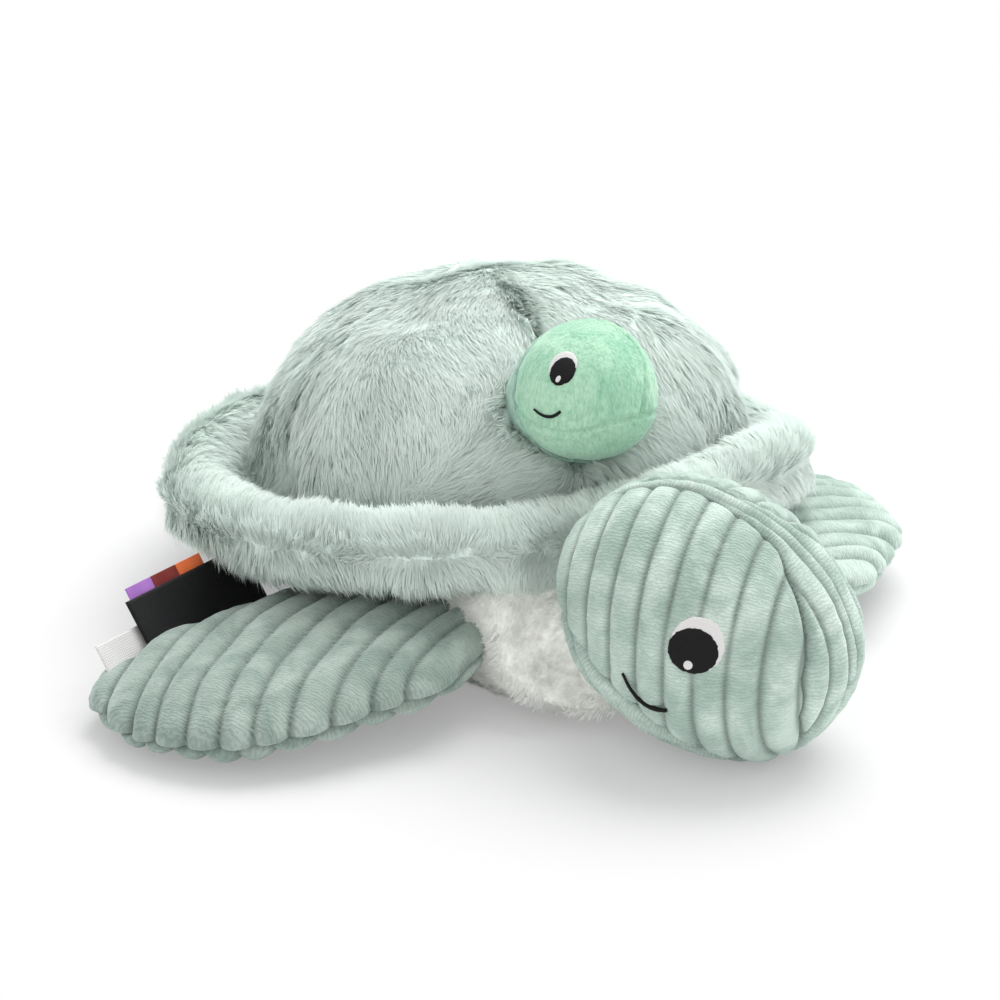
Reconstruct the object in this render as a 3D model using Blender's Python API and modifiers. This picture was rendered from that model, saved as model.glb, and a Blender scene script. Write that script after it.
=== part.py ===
"""A plush sea turtle with a baby turtle in the pocket of its shell, as separate sewn and stuffed pieces.

Metres, +Z up. The origin is on the floor under the middle of the shell, the mother looks towards -Y and
her left side is +X. Her head is turned to her left and nods down, as it lies in the photograph.
"""

import math

import bmesh
import bpy
from mathutils import Matrix, Vector

# Cloth and the gap between pieces that touch
GAP = 0.0003
FUR_CLOTH = 0.0025
VELOUR_CLOTH = 0.0014
BABY_CLOTH = 0.0009
LINING_CLOTH = 0.0012
STUFFING_PLAY = 0.0010
FLAT_CUT = 0.0005
CUT_OVERRUN = 0.03

# The shell: a fur dome inside a padded fur rim, tilted up at the front where it rides over the neck
SHELL_HEIGHT = 0.042
SHELL_TILT = math.radians(7.5)
RIM_RADIUS = 0.0955
RIM_THICKNESS = 0.033
RIM_OPEN_ANGLE = math.radians(62)
DOME_WIDTH = 0.172
DOME_LENGTH = 0.174
DOME_RISE = 0.064
DOME_UNDER = 0.012
DOME_SQUARENESS = 2.3
TUFT_DEPTH = 0.0065
TUFT_REACH_SHARE = 0.18
TUFT_PLACE_SHARES = ((0.22, 0.2), (0.6, 0.2), (0.83, 0.16), (0.42, -0.34), (0.36, 0.66))

# The belly: a fur bag that narrows into the chest
BELLY_WIDTH = 0.124
BELLY_HEIGHT = 0.055
BELLY_FRONT = 0.139
BELLY_REAR = 0.086
BELLY_TAPER_SHARE = 0.36
BELLY_SQUARENESS = 2.6
BELLY_OPEN_BELOW = 0.016
BELLY_OPEN_RADIUS = 0.092
CHEST_DROOP = 0.006

# The mother's head, turned to her left and nodding, and the neck that it swings on
HEAD_LENGTH = 0.094
HEAD_WIDTH = 0.0756
HEAD_HEIGHT = 0.0756
HEAD_SQUARENESS = 2.1
HEAD_AHEAD = 0.1427
HEAD_ASIDE = 0.0179
HEAD_CENTRE_HEIGHT = 0.041
HEAD_TURNED = math.radians(43)
HEAD_NODDED = math.radians(28)
NECK_AHEAD = 0.118
NECK_DIAMETER = 0.030
NECK_BOTTOM = 0.008
NECK_TOP = 0.054
NECK_SQUARENESS = 3.0
NOD_HEIGHT = 0.062
NECK_PLAY = 0.0006
HEAD_PLAY = 0.0012
NECK_OPENING = 0.022
TURN_STEPS = (0.0, -21.5, -43.0, -64.5, -86.0)
NOD_STEPS = (0.0, 10.0, 20.0)

# The flippers: length past the hinge, breadth, thickness, and where each is sewn on
RIGHT_FRONT_LENGTH = 0.103
LEFT_FRONT_LENGTH = 0.103
FRONT_BREADTH = 0.080
FRONT_THICKNESS = 0.021
FRONT_BOW = 0.010
FRONT_BREADTH_SHARES = (0.60, 0.84, 0.98, 1.0, 0.90)
FRONT_THICKNESS_SHARES = (0.40, 0.86, 1.0, 0.90, 0.72)
FRONT_SQUARENESS = 2.9
REAR_LENGTH = 0.073
REAR_BREADTH = 0.046
REAR_THICKNESS = 0.012
REAR_BOW = 0.003
REAR_BREADTH_SHARES = (0.66, 0.86, 1.0, 0.98, 0.84)
REAR_THICKNESS_SHARES = (0.66, 0.90, 1.0, 0.95, 0.75)
REAR_SQUARENESS = 2.6
EDGE_SQUARENESS = 2.3
FLIPPER_OPEN_SHARE = 0.03
FRONT_HINGE_ASIDE = 0.050
FRONT_HINGE_AHEAD = 0.068
FRONT_HINGE_HEIGHT = 0.0215
FRONT_DROOP = math.radians(7.0)
LEFT_FRONT_DROOP = math.radians(9.2)
REAR_HINGE_ASIDE = 0.037
REAR_HINGE_BEHIND = 0.053
REAR_HINGE_HEIGHT = 0.0076
REAR_DROOP = math.radians(0.5)
RIGHT_FRONT_SWEEP = math.radians(8)
LEFT_FRONT_SWEEP = math.radians(-50)
REAR_SWEEP = math.radians(-63)
FLAP_PLAY = 0.0006
FLAP_STEPS = (-30.0, -15.0, 0.0, 8.0)

# The pocket in the shell, with its slit, and the baby turtle in it
BABY_HEAD_DIAMETER = 0.0434
BABY_AHEAD = 0.079
BABY_ASIDE = 0.0035
BABY_HEIGHT = 0.093
POCKET_SLOPE = math.radians(20)
POCKET_WIDTH = 0.047
POCKET_HEIGHT = 0.031
POCKET_DEPTH = 0.086
POCKET_BELOW_HEAD = 0.003
MOUTH_PLAY = 0.0006
SLIT_LENGTH = 0.092
SLIT_WIDTH = 0.026
SLIT_DEPTH = 0.016
SLIT_AHEAD = 0.052
SLIT_HEIGHT = 0.098
SLIT_LEAN = math.radians(35)
BABY_BODY_LENGTH = 0.052
BABY_BODY_WIDTH = 0.028
BABY_BODY_HEIGHT = 0.020
BABY_BODY_BEHIND = 0.042
BABY_BODY_BELOW = 0.0068
BABY_FLIPPER_LENGTH = 0.022
BABY_FLIPPER_BREADTH = 0.009
BABY_FLIPPER_THICKNESS = 0.005
BABY_FLIPPER_ASIDE = 0.0155
BABY_FRONT_FLIPPER_BEHIND = 0.034
BABY_REAR_FLIPPER_BEHIND = 0.058
BABY_NOSE_TURN = math.radians(34)
BABY_NECK_SHARE = 0.8

# Embroidery: directions are (degrees off the nose, degrees up), sizes lie on the cloth
STITCH_RISE = 0.0010
STITCH_DEPTH = 0.012
EYE_DIRECTION = (78.8, 18.0)
EYE_WIDTH = 0.0158
EYE_HEIGHT = 0.0182
PUPIL_DROP = 0.0022
PUPIL_WIDTH = 0.0122
PUPIL_HEIGHT = 0.0132
GLINT_DROP = 0.0062
GLINT_SIZE = 0.0026
SMILE_DIRECTIONS = ((101.0, -15.5), (94.0, -20.5), (86.5, -22.8), (80.5, -21.5), (75.5, -18.0))
SMILE_THICKNESS = 0.0018
BABY_EYE_DIRECTION = (79.5, 35.0)
BABY_EYE_WIDTH = 0.0080
BABY_EYE_HEIGHT = 0.0098
BABY_PUPIL_DROP = 0.0011
BABY_PUPIL_WIDTH = 0.0062
BABY_PUPIL_HEIGHT = 0.0070
BABY_GLINT_DROP = 0.0032
BABY_GLINT_SIZE = 0.0014
BABY_SMILE_DIRECTIONS = ((102.0, -3.0), (95.0, -5.5), (88.5, -6.0), (82.0, -4.0), (76.5, 0.4))
BABY_SMILE_THICKNESS = 0.0011

# The labels sewn in the side seam, lying against the right front flipper
LABEL_THICKNESS = 0.0008
LABEL_LENGTH = 0.038
LABEL_WIDTH = 0.019
LABEL_ASIDE = 0.1235
LABEL_AHEAD = 0.0430
LABEL_HEIGHT = 0.0258
LABEL_HEADING = math.radians(36)
LABEL_LEAN = math.radians(58)
CARE_LABEL_LENGTH = 0.016
CARE_LABEL_WIDTH = 0.013
CARE_LABEL_TUCK = 0.004
RIBBON_LENGTH = 0.0085
RIBBON_HEIGHT = 0.0075

# How finely each form is divided
FORM_SEGMENTS = 24
FORM_RINGS = 14
DOME_SEGMENTS = 40
DOME_RINGS = 24
LIMB_SEGMENTS = 14
LIMB_RINGS = 10
SMALL_SEGMENTS = 10
SMALL_RINGS = 6
PATCH_SIDES = 14
RIM_SEGMENTS = 32
RIM_SIDES = 12
POCKET_SIDES = 16

ORIGIN = Vector((0, 0, 0))


# Naming, placing and colouring

def cloth(name, colour, roughness):
    """A matt cloth with its own colour."""
    finish = bpy.data.materials.new(name)
    finish.use_nodes = True
    shader = finish.node_tree.nodes["Principled BSDF"]
    shader.inputs["Base Color"].default_value = (*colour, 1)
    shader.inputs["Roughness"].default_value = roughness
    shader.inputs["Metallic"].default_value = 0
    return finish


def new_group(name):
    """A collection in the scene."""
    group = bpy.data.collections.new(name)
    bpy.context.scene.collection.children.link(group)
    return group


def pivot_at(name, place, group):
    """An unturned empty on a joint's axis."""
    pivot = bpy.data.objects.new(name, None)
    pivot.location = place
    group.objects.link(pivot)
    return pivot


def settle(obj, name, group, pose, pivot=None, finish=None):
    """Names an object and puts it at its pose in the world, under its pivot."""
    obj.name = name
    obj.data.name = name
    for old in list(obj.users_collection):
        old.objects.unlink(obj)
    group.objects.link(obj)
    start = pivot.location if pivot else ORIGIN
    obj.parent = pivot
    obj.matrix_basis = Matrix.Translation(-start) @ pose
    if finish:
        obj.data.materials.append(finish)
    return obj


def frame(place, turn=0, nod=0, roll=0):
    """A pose whose nose points along its own -Y: turned about +Z, then nodded down, then rolled."""
    turning = Matrix.Rotation(turn, 4, "Z") @ Matrix.Rotation(nod, 4, "X") @ Matrix.Rotation(roll, 4, "Y")
    return Matrix.Translation(place) @ turning


# Building soft forms

def round_share(along, squareness):
    """How wide a rounded form is at a share of its half length, as a share of its widest."""
    return max(0, 1 - abs(along) ** squareness) ** (1 / squareness)


def section(point, squareness=2):
    """The direction of a unit sphere's point round its pole axis, on a squared circle."""
    reach = math.hypot(point.x, point.y)
    if reach == 0:
        return 0, 0
    across, up = point.x / reach, point.y / reach
    size = (abs(across) ** squareness + abs(up) ** squareness) ** (1 / squareness)
    return across / size, up / size


def share_at(along, shares):
    """Reads a row of shares, spaced evenly from the start of a piece to its end."""
    place = min(max(along, 0), 1) * (len(shares) - 1)
    before = min(int(place), len(shares) - 2)
    part = place - before
    return shares[before] * (1 - part) + shares[before + 1] * part


def form(shape, segments, rings):
    """A closed soft form: a sphere whose points the shape function moves."""
    bpy.ops.mesh.primitive_uv_sphere_add(segments=segments, ring_count=rings, radius=1)
    obj = bpy.context.object
    for vertex in obj.data.vertices:
        vertex.co = shape(vertex.co.copy())
    tidy = bmesh.new()
    tidy.from_mesh(obj.data)
    bmesh.ops.recalc_face_normals(tidy, faces=tidy.faces)
    tidy.to_mesh(obj.data)
    tidy.free()
    obj.data.shade_smooth()
    return obj


def open_up(obj, is_open):
    """Takes away the faces of a form where its cloth is open."""
    opened = bmesh.new()
    opened.from_mesh(obj.data)
    gone = [face for face in opened.faces if is_open(face.calc_center_median())]
    bmesh.ops.delete(opened, geom=gone, context="FACES")
    opened.to_mesh(obj.data)
    opened.free()


def add_wall(obj, thickness):
    """Gives an open form its cloth, inwards from its surface."""
    wall = obj.modifiers.new("cloth", "SOLIDIFY")
    wall.thickness = thickness
    wall.offset = -1


def boolean(obj, operation, other):
    """Cuts an object by another one, or keeps what they share."""
    cut = obj.modifiers.new(other.name, "BOOLEAN")
    cut.operation = operation
    cut.object = other


def as_cutter(obj, name, group, pose):
    """Keeps a form as a guide that only cuts others."""
    settle(obj, name, group, pose)
    obj.hide_render = True
    obj.display_type = "WIRE"
    return obj


# The shapes of the pieces, each less an inset

def dome_shape(inset=0):
    """The shell's dome in its own frame, with the tufts that quilt it."""
    def shape(point):
        size = sum(abs(value) ** DOME_SQUARENESS for value in point) ** (1 / DOME_SQUARENESS)
        unit = point / size
        dip = 0
        for across, along in TUFT_PLACE_SHARES:
            for side in (-1, 1):
                off = math.hypot(unit.x - side * across, unit.y - along)
                dip += math.exp(-(off / TUFT_REACH_SHARE) ** 2)
        dent = TUFT_DEPTH * min(dip, 1) * max(unit.z, 0)
        rise = (DOME_RISE if unit.z > 0 else DOME_UNDER) - inset - dent
        return Vector((
            unit.x * (DOME_WIDTH / 2 - inset),
            unit.y * (DOME_LENGTH / 2 - inset),
            unit.z * rise,
        ))
    return shape


def belly_shape(inset=0):
    """The belly and chest, lying along Y, with the chest at the front."""
    half_length = (BELLY_FRONT + BELLY_REAR) / 2

    def shape(point):
        across, up = section(point, EDGE_SQUARENESS)
        along = point.z
        reach = round_share(along, BELLY_SQUARENESS)
        taper = 1 + BELLY_TAPER_SHARE * along
        droop = CHEST_DROOP * min(along, 0)
        return Vector((
            across * reach * (BELLY_WIDTH / 2 * taper - inset),
            (BELLY_REAR - BELLY_FRONT) / 2 + along * (half_length - inset),
            BELLY_HEIGHT / 2 - FLAT_CUT + droop + up * reach * (BELLY_HEIGHT / 2 - inset),
        ))
    return shape


def egg_shape(length, width, height, squareness, inset=0):
    """An egg along its own Y, with its nose at -Y."""
    def shape(point):
        across, up = section(point)
        reach = round_share(point.z, squareness)
        return Vector((
            across * reach * (width / 2 - inset),
            -point.z * (length / 2 - inset),
            up * reach * (height / 2 - inset),
        ))
    return shape


def head_shape(inset=0):
    """The mother's head."""
    return egg_shape(HEAD_LENGTH, HEAD_WIDTH, HEAD_HEIGHT, HEAD_SQUARENESS, inset)


def neck_shape(inset=0):
    """The stuffed neck, a short barrel about the upright axis that the head turns on."""
    def shape(point):
        across, up = section(point)
        reach = round_share(point.z, NECK_SQUARENESS) * (NECK_DIAMETER / 2 - inset)
        return Vector((across * reach, up * reach, point.z * ((NECK_TOP - NECK_BOTTOM) / 2 - inset)))
    return shape


def flipper_shape(side, length, breadth, thickness, bow, breadth_shares, thickness_shares, squareness):
    """A flipper along its own +X from its hinge; a left one, side 1, has its leading edge at -Y."""
    def shape_less(inset):
        def shape(point):
            across, up = section(point, EDGE_SQUARENESS)
            along = (1 + point.z) / 2
            reach = round_share(point.z, squareness)
            half_breadth = max(breadth / 2 * share_at(along, breadth_shares) - inset, GAP)
            half_thickness = max(thickness / 2 * share_at(along, thickness_shares) - inset, GAP)
            forward = across * reach * half_breadth - bow * math.sin(math.pi * along)
            return Vector((
                inset + along * (length - 2 * inset),
                side * forward,
                up * reach * half_thickness,
            ))
        return shape
    return shape_less


def front_shape(side, length):
    """A front flipper."""
    return flipper_shape(side, length, FRONT_BREADTH, FRONT_THICKNESS, FRONT_BOW,
                         FRONT_BREADTH_SHARES, FRONT_THICKNESS_SHARES, FRONT_SQUARENESS)


def rear_shape(side, length):
    """A rear flipper."""
    return flipper_shape(side, length, REAR_BREADTH, REAR_THICKNESS, REAR_BOW,
                         REAR_BREADTH_SHARES, REAR_THICKNESS_SHARES, REAR_SQUARENESS)


# Poses of the pieces at rest and through their joints' ranges

def shell_pose():
    return frame(Vector((0, 0, SHELL_HEIGHT)), nod=-SHELL_TILT)


def head_pose():
    return frame(Vector((HEAD_ASIDE, -HEAD_AHEAD, HEAD_CENTRE_HEIGHT)), HEAD_TURNED, HEAD_NODDED)


def neck_place(height):
    return Vector((0, -NECK_AHEAD, height))


def head_move(turn, nod):
    """How the head moves in the world for a turn about the neck and a lift of the chin, in degrees."""
    upright = neck_place(NOD_HEIGHT)
    sideways = Vector((-math.cos(HEAD_TURNED), -math.sin(HEAD_TURNED), 0))
    lifting = Matrix.Rotation(math.radians(nod), 4, sideways)
    turning = Matrix.Rotation(math.radians(turn), 4, "Z")
    return Matrix.Translation(upright) @ turning @ lifting @ Matrix.Translation(-upright)


def baby_pose():
    return frame(Vector((BABY_ASIDE, -BABY_AHEAD, BABY_HEIGHT)), nod=-POCKET_SLOPE)


def flipper_pose(place, side, sweep, droop, flap=0):
    """A flipper's pose: its own +X points out from its hinge, swept towards the head and drooping."""
    heading = -sweep if side > 0 else math.pi + sweep
    turning = Matrix.Rotation(heading, 4, "Z") @ Matrix.Rotation(droop - flap, 4, "Y")
    return Matrix.Translation((side * place.x, place.y, place.z)) @ turning


def flipper_places():
    """Each flipper's name, shape less an inset, hinge place on the +X side, side, sweep and droop."""
    front = Vector((FRONT_HINGE_ASIDE, -FRONT_HINGE_AHEAD, FRONT_HINGE_HEIGHT))
    rear = Vector((REAR_HINGE_ASIDE, REAR_HINGE_BEHIND, REAR_HINGE_HEIGHT))
    front_right = front_shape(-1, RIGHT_FRONT_LENGTH)
    front_left = front_shape(1, LEFT_FRONT_LENGTH)
    return (
        ("front_right_flipper", front_right, front, -1, RIGHT_FRONT_SWEEP, FRONT_DROOP),
        ("front_left_flipper", front_left, front, 1, LEFT_FRONT_SWEEP, LEFT_FRONT_DROOP),
        ("rear_right_flipper", rear_shape(-1, REAR_LENGTH), rear, -1, REAR_SWEEP, REAR_DROOP),
        ("rear_left_flipper", rear_shape(1, REAR_LENGTH), rear, 1, REAR_SWEEP, REAR_DROOP),
    )


def dome_form(inset=0):
    return form(dome_shape(inset), DOME_SEGMENTS, DOME_RINGS)


def belly_form(inset=0):
    return form(belly_shape(inset), FORM_SEGMENTS, FORM_RINGS)


def head_form(inset=0):
    return form(head_shape(inset), FORM_SEGMENTS, FORM_RINGS)


def neck_form(inset=0):
    return form(neck_shape(inset), LIMB_SEGMENTS, LIMB_RINGS)


# Guides that cut: each is the room that a piece needs, at rest or as it moves

def swept(name, group, obj, poses):
    """One convex guide round a form at all of its poses."""
    room = bmesh.new()
    for pose in poses:
        for vertex in obj.data.vertices:
            room.verts.new(pose @ vertex.co)
    hull = bmesh.ops.convex_hull(room, input=room.verts)
    inside = [item for item in hull["geom_interior"] if isinstance(item, bmesh.types.BMVert)]
    bmesh.ops.delete(room, geom=inside, context="VERTS")
    bmesh.ops.recalc_face_normals(room, faces=room.faces)
    room.to_mesh(obj.data)
    room.free()
    return as_cutter(obj, name, group, Matrix.Identity(4))


def rim_ring(inset=0):
    """The rim's closed ring about its own Z."""
    bpy.ops.mesh.primitive_torus_add(major_radius=RIM_RADIUS, minor_radius=RIM_THICKNESS / 2 - inset,
                                     major_segments=RIM_SEGMENTS, minor_segments=RIM_SIDES)
    obj = bpy.context.object
    obj.data.shade_smooth()
    return obj


def rim_opening():
    """A disc that opens the rim's cover on its inner side, where it is sewn to the dome and the belly."""
    reach = RIM_RADIUS - math.cos(RIM_OPEN_ANGLE) * RIM_THICKNESS / 2
    bpy.ops.mesh.primitive_cylinder_add(vertices=RIM_SEGMENTS, radius=reach, depth=2 * RIM_THICKNESS)
    return bpy.context.object


def belly_opening():
    """A disc under the dome, where the belly's cover is open to the stuffing of the shell."""
    bpy.ops.mesh.primitive_cylinder_add(vertices=RIM_SEGMENTS, radius=BELLY_OPEN_RADIUS, depth=DOME_RISE)
    obj = bpy.context.object
    for vertex in obj.data.vertices:
        vertex.co.z += DOME_RISE / 2 - BELLY_OPEN_BELOW
    return obj


def floor_slab():
    """The floor under the belly, which is flattened on it."""
    bpy.ops.mesh.primitive_cube_add(size=1)
    obj = bpy.context.object
    breadth = 2 * (BELLY_FRONT + BELLY_REAR)
    for vertex in obj.data.vertices:
        unit = vertex.co
        vertex.co = Vector((unit.x * breadth, unit.y * breadth, (unit.z - 1 / 2) * CUT_OVERRUN))
    return obj


def head_room_poses():
    return [head_move(turn, nod) @ head_pose() for turn in TURN_STEPS for nod in NOD_STEPS]


def neck_pose():
    return Matrix.Translation(neck_place((NECK_TOP + NECK_BOTTOM) / 2))


def neck_room_poses():
    """Where the neck lies, seen from the head, as the chin lifts."""
    return [head_move(0, nod).inverted() @ neck_pose() for nod in NOD_STEPS]


def flap_poses(place, side, sweep, droop):
    return [flipper_pose(place, side, sweep, droop, math.radians(flap)) for flap in FLAP_STEPS]


def pocket_bar(width, height, depth):
    """An oval bar along the pocket, from its end wall out past the slit."""
    length = depth + POCKET_DEPTH
    bpy.ops.mesh.primitive_cylinder_add(vertices=POCKET_SIDES, radius=1, depth=1)
    obj = bpy.context.object
    turn = Matrix.Rotation(math.pi / 2, 4, "X")
    for vertex in obj.data.vertices:
        unit = turn @ vertex.co
        vertex.co = Vector((
            unit.x * width / 2,
            depth + (unit.y - 1 / 2) * length,
            unit.z * height / 2 - POCKET_BELOW_HEAD,
        ))
    return obj


def slit_lens():
    """A lens that is widest where the baby's head holds the slit open."""
    bpy.ops.mesh.primitive_cylinder_add(vertices=FORM_SEGMENTS, radius=1, depth=1)
    obj = bpy.context.object
    for vertex in obj.data.vertices:
        vertex.co = Vector((
            vertex.co.x * abs(vertex.co.x) * SLIT_WIDTH / 2,
            vertex.co.y * SLIT_LENGTH / 2,
            vertex.co.z * 2 * SLIT_DEPTH,
        ))
    return obj


def make_guides(group):
    """Every guide that the pieces are cut by, under its name."""
    rest = Matrix.Identity(4)
    head_poses = head_room_poses()
    cloth_room = head_form(-HEAD_PLAY - FUR_CLOTH)
    fill_room = head_form(-HEAD_PLAY - FUR_CLOTH - STUFFING_PLAY)
    guides = {
        "rim": as_cutter(rim_ring(-GAP), "rim_room", group, shell_pose()),
        "floor": as_cutter(floor_slab(), "floor_room", group, rest),
        "head": swept("head_room", group, head_form(-HEAD_PLAY), head_poses),
        "head_cloth": swept("cloth_room", group, cloth_room, head_poses),
        "head_fill": swept("fill_room", group, fill_room, head_poses),
        "neck": as_cutter(neck_form(-NECK_PLAY), "neck_room", group, neck_pose()),
        "neck_swing": swept("neck_swing_room", group, neck_form(-NECK_PLAY), neck_room_poses()),
        "rim_inside": as_cutter(rim_ring(FUR_CLOTH), "rim_inside", group, shell_pose()),
        "rim_opening": as_cutter(rim_opening(), "rim_opening", group, shell_pose()),
        "belly_inside": as_cutter(belly_form(FUR_CLOTH), "belly_inside", group, rest),
        "belly_opening": as_cutter(belly_opening(), "belly_opening", group, shell_pose()),
    }
    boolean(guides["rim_inside"], "DIFFERENCE", guides["head_cloth"])
    boolean(guides["belly_inside"], "DIFFERENCE", guides["head_cloth"])
    for name, shape_less, place, side, sweep, droop in flipper_places():
        room = form(shape_less(-FLAP_PLAY), LIMB_SEGMENTS, LIMB_RINGS)
        guides[name] = swept(f"{name}_room", group, room, flap_poses(place, side, sweep, droop))
    reach = BABY_HEAD_DIAMETER / 2 + MOUTH_PLAY
    bpy.ops.mesh.primitive_uv_sphere_add(segments=LIMB_SEGMENTS, ring_count=LIMB_RINGS, radius=reach)
    guides["baby_head"] = as_cutter(bpy.context.object, "baby_head_room", group, baby_pose())
    slit_pose = frame(Vector((0, -SLIT_AHEAD, SLIT_HEIGHT)), nod=SLIT_LEAN)
    guides["slit"] = as_cutter(slit_lens(), "slit_room", group, slit_pose)
    wall = 2 * LINING_CLOTH
    inner = pocket_bar(POCKET_WIDTH - wall, POCKET_HEIGHT - wall, POCKET_DEPTH - LINING_CLOTH)
    guides["pocket_inside"] = as_cutter(inner, "pocket_inside_room", group, baby_pose())
    outer = pocket_bar(POCKET_WIDTH + 2 * GAP, POCKET_HEIGHT + 2 * GAP, POCKET_DEPTH + GAP)
    guides["pocket_outside"] = as_cutter(outer, "pocket_outside_room", group, baby_pose())
    under_cover = dome_form(FUR_CLOTH + GAP + MOUTH_PLAY)
    guides["under_cover"] = as_cutter(under_cover, "under_cover_room", group, shell_pose())
    guides["belly_fill"] = as_cutter(belly_form(FUR_CLOTH + STUFFING_PLAY), "belly_fill", group, rest)
    return guides


def cut_by(obj, guides, *names):
    """Cuts an object by the guides of these names."""
    for name in names:
        boolean(obj, "DIFFERENCE", guides[name])


# The shell, the rim, the belly and the pocket

def make_shell(group, guides, fur, stuffing):
    """The dome's cover with its slit, and the padded rim round it."""
    dome = dome_form()
    open_up(dome, lambda centre: centre.z < 0)
    add_wall(dome, FUR_CLOTH)
    settle(dome, "shell_cover", group, shell_pose(), finish=fur)
    cut_by(dome, guides, "slit", "baby_head", "pocket_inside", "rim")

    rim = settle(rim_ring(), "rim_cover", group, shell_pose(), finish=fur)
    cut_by(rim, guides, "head", "rim_inside", "rim_opening")
    filling = rim_ring(FUR_CLOTH + STUFFING_PLAY)
    settle(filling, "rim_stuffing", group, shell_pose(), finish=stuffing)
    cut_by(filling, guides, "head_fill")


def make_belly(group, guides, fur, stuffing):
    """The belly's cover, open inside the shell, and the stuffing that fills belly and dome."""
    belly = settle(belly_form(), "belly_cover", group, Matrix.Identity(4), finish=fur)
    flippers = [place[0] for place in flipper_places()]
    cut_by(belly, guides, "head", "belly_inside", "belly_opening", "rim", "neck", "floor", *flippers)

    filling = dome_form(FUR_CLOTH + STUFFING_PLAY)
    settle(filling, "body_stuffing", group, shell_pose(), finish=stuffing)
    boolean(filling, "UNION", guides["belly_fill"])
    cut_by(filling, guides, "slit", "baby_head", "pocket_outside", "rim", "head_fill", "neck", *flippers)


def make_pocket(group, guides, lining_cloth):
    """The lining that holds the baby, sewn in behind the slit."""
    lining = pocket_bar(POCKET_WIDTH, POCKET_HEIGHT, POCKET_DEPTH)
    settle(lining, "pocket_lining", group, baby_pose(), finish=lining_cloth)
    boolean(lining, "INTERSECT", guides["under_cover"])
    cut_by(lining, guides, "pocket_inside", "baby_head")


# The mother's head and neck

def make_head(group, guides, velour, stuffing):
    """The head's cover, open where the neck enters it, its stuffing and the neck."""
    turning = pivot_at("head_turn_pivot", neck_place(0), group)
    nodding = pivot_at("head_nod_pivot", neck_place(NOD_HEIGHT), group)
    settle(neck_form(), "neck_stuffing", group, neck_pose(), turning, stuffing)

    cover = head_form()
    opening = head_pose().inverted() @ neck_place(NECK_TOP - NECK_DIAMETER / 2)
    open_up(cover, lambda centre: (centre - opening).length < NECK_OPENING / 2)
    add_wall(cover, VELOUR_CLOTH)
    settle(cover, "head_cover", group, head_pose(), nodding, velour)
    cut_by(cover, guides, "neck_swing")
    filling = head_form(VELOUR_CLOTH + STUFFING_PLAY)
    settle(filling, "head_stuffing", group, head_pose(), nodding, stuffing)
    cut_by(filling, guides, "neck_swing")
    return nodding


# Embroidery

def on_surface(direction, half_sizes, side):
    """The point and the outward normal of an egg where a direction leaves it; side -1 is its right."""
    away, up = (math.radians(angle) for angle in direction)
    ray = Vector((side * math.sin(away) * math.cos(up), -math.cos(away) * math.cos(up), math.sin(up)))
    reach = 1 / math.sqrt(sum((ray[axis] / half_sizes[axis]) ** 2 for axis in range(3)))
    point = ray * reach
    normal = Vector([point[axis] / half_sizes[axis] ** 2 for axis in range(3)]).normalized()
    return point, normal


def stitch_frame(direction, half_sizes, side):
    """A pose on an egg's surface: its Z points out and its Y up."""
    point, normal = on_surface(direction, half_sizes, side)
    across = Vector((0, 0, 1)).cross(normal).normalized()
    up = normal.cross(across)
    turning = Matrix((across, up, normal)).transposed().to_4x4()
    return Matrix.Translation(point) @ turning


def oval_bar(width, height, drop):
    """An oval bar through the cloth, a drop below the middle of the eye."""
    bpy.ops.mesh.primitive_cylinder_add(vertices=PATCH_SIDES, radius=1, depth=1)
    obj = bpy.context.object
    for vertex in obj.data.vertices:
        unit = vertex.co
        vertex.co = Vector((unit.x * width / 2, unit.y * height / 2 - drop, unit.z * STITCH_DEPTH))
    return obj


def make_eye(owner, side_name, side, look, group, guide_group, layers, pivot, finishes):
    """An embroidered eye: the white, the pupil set in it and the glint set in the pupil."""
    pose = look["pose"] @ stitch_frame(look["eye"], look["half_sizes"], side)
    previous = None
    parts = ("eye_white", "pupil", "glint")
    for part, finish, (width, height, drop) in zip(parts, finishes, look["ovals"]):
        patch = oval_bar(width, height, drop)
        settle(patch, f"{owner}{part}_{side_name}", group, pose, pivot, finish)
        boolean(patch, "INTERSECT", layers["outside"])
        boolean(patch, "DIFFERENCE", layers["inside"])
        if previous:
            hole = oval_bar(width + 2 * GAP, height + 2 * GAP, drop)
            as_cutter(hole, f"{owner}{part}_{side_name}_room", guide_group, pose)
            boolean(previous, "DIFFERENCE", hole)
        previous = patch


def make_smile(name, side, look, group, pivot, finish):
    """A stitched smile: one thread along the cloth."""
    spline_curve = bpy.data.curves.new(name, "CURVE")
    spline_curve.dimensions = "3D"
    spline_curve.bevel_depth = look["thread"] / 2
    spline_curve.bevel_resolution = 1
    spline_curve.use_fill_caps = True
    spline = spline_curve.splines.new("POLY")
    spline.points.add(len(look["smile"]) - 1)
    for spot, direction in zip(spline.points, look["smile"]):
        point, normal = on_surface(direction, look["half_sizes"], side)
        spot.co = (*(point + normal * (look["thread"] / 2 + 2 * GAP)), 1)
    obj = bpy.data.objects.new(name, spline_curve)
    group.objects.link(obj)
    return settle(obj, name, group, look["pose"], pivot, finish)


def make_face(owner, look, group, guide_group, pivot, white, black):
    """Both eyes and both halves of the smile of a head."""
    layers = {}
    for layer, rise in (("outside", GAP + STITCH_RISE), ("inside", GAP)):
        layers[layer] = as_cutter(form(look["shape"](-rise), FORM_SEGMENTS, FORM_RINGS),
                                  f"{owner}{layer}_of_stitches", guide_group, look["pose"])
    for side_name, side in (("left", 1), ("right", -1)):
        make_eye(owner, side_name, side, look, group, guide_group, layers, pivot, (white, black, white))
        make_smile(f"{owner}smile_{side_name}", side, look, group, pivot, black)


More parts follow.
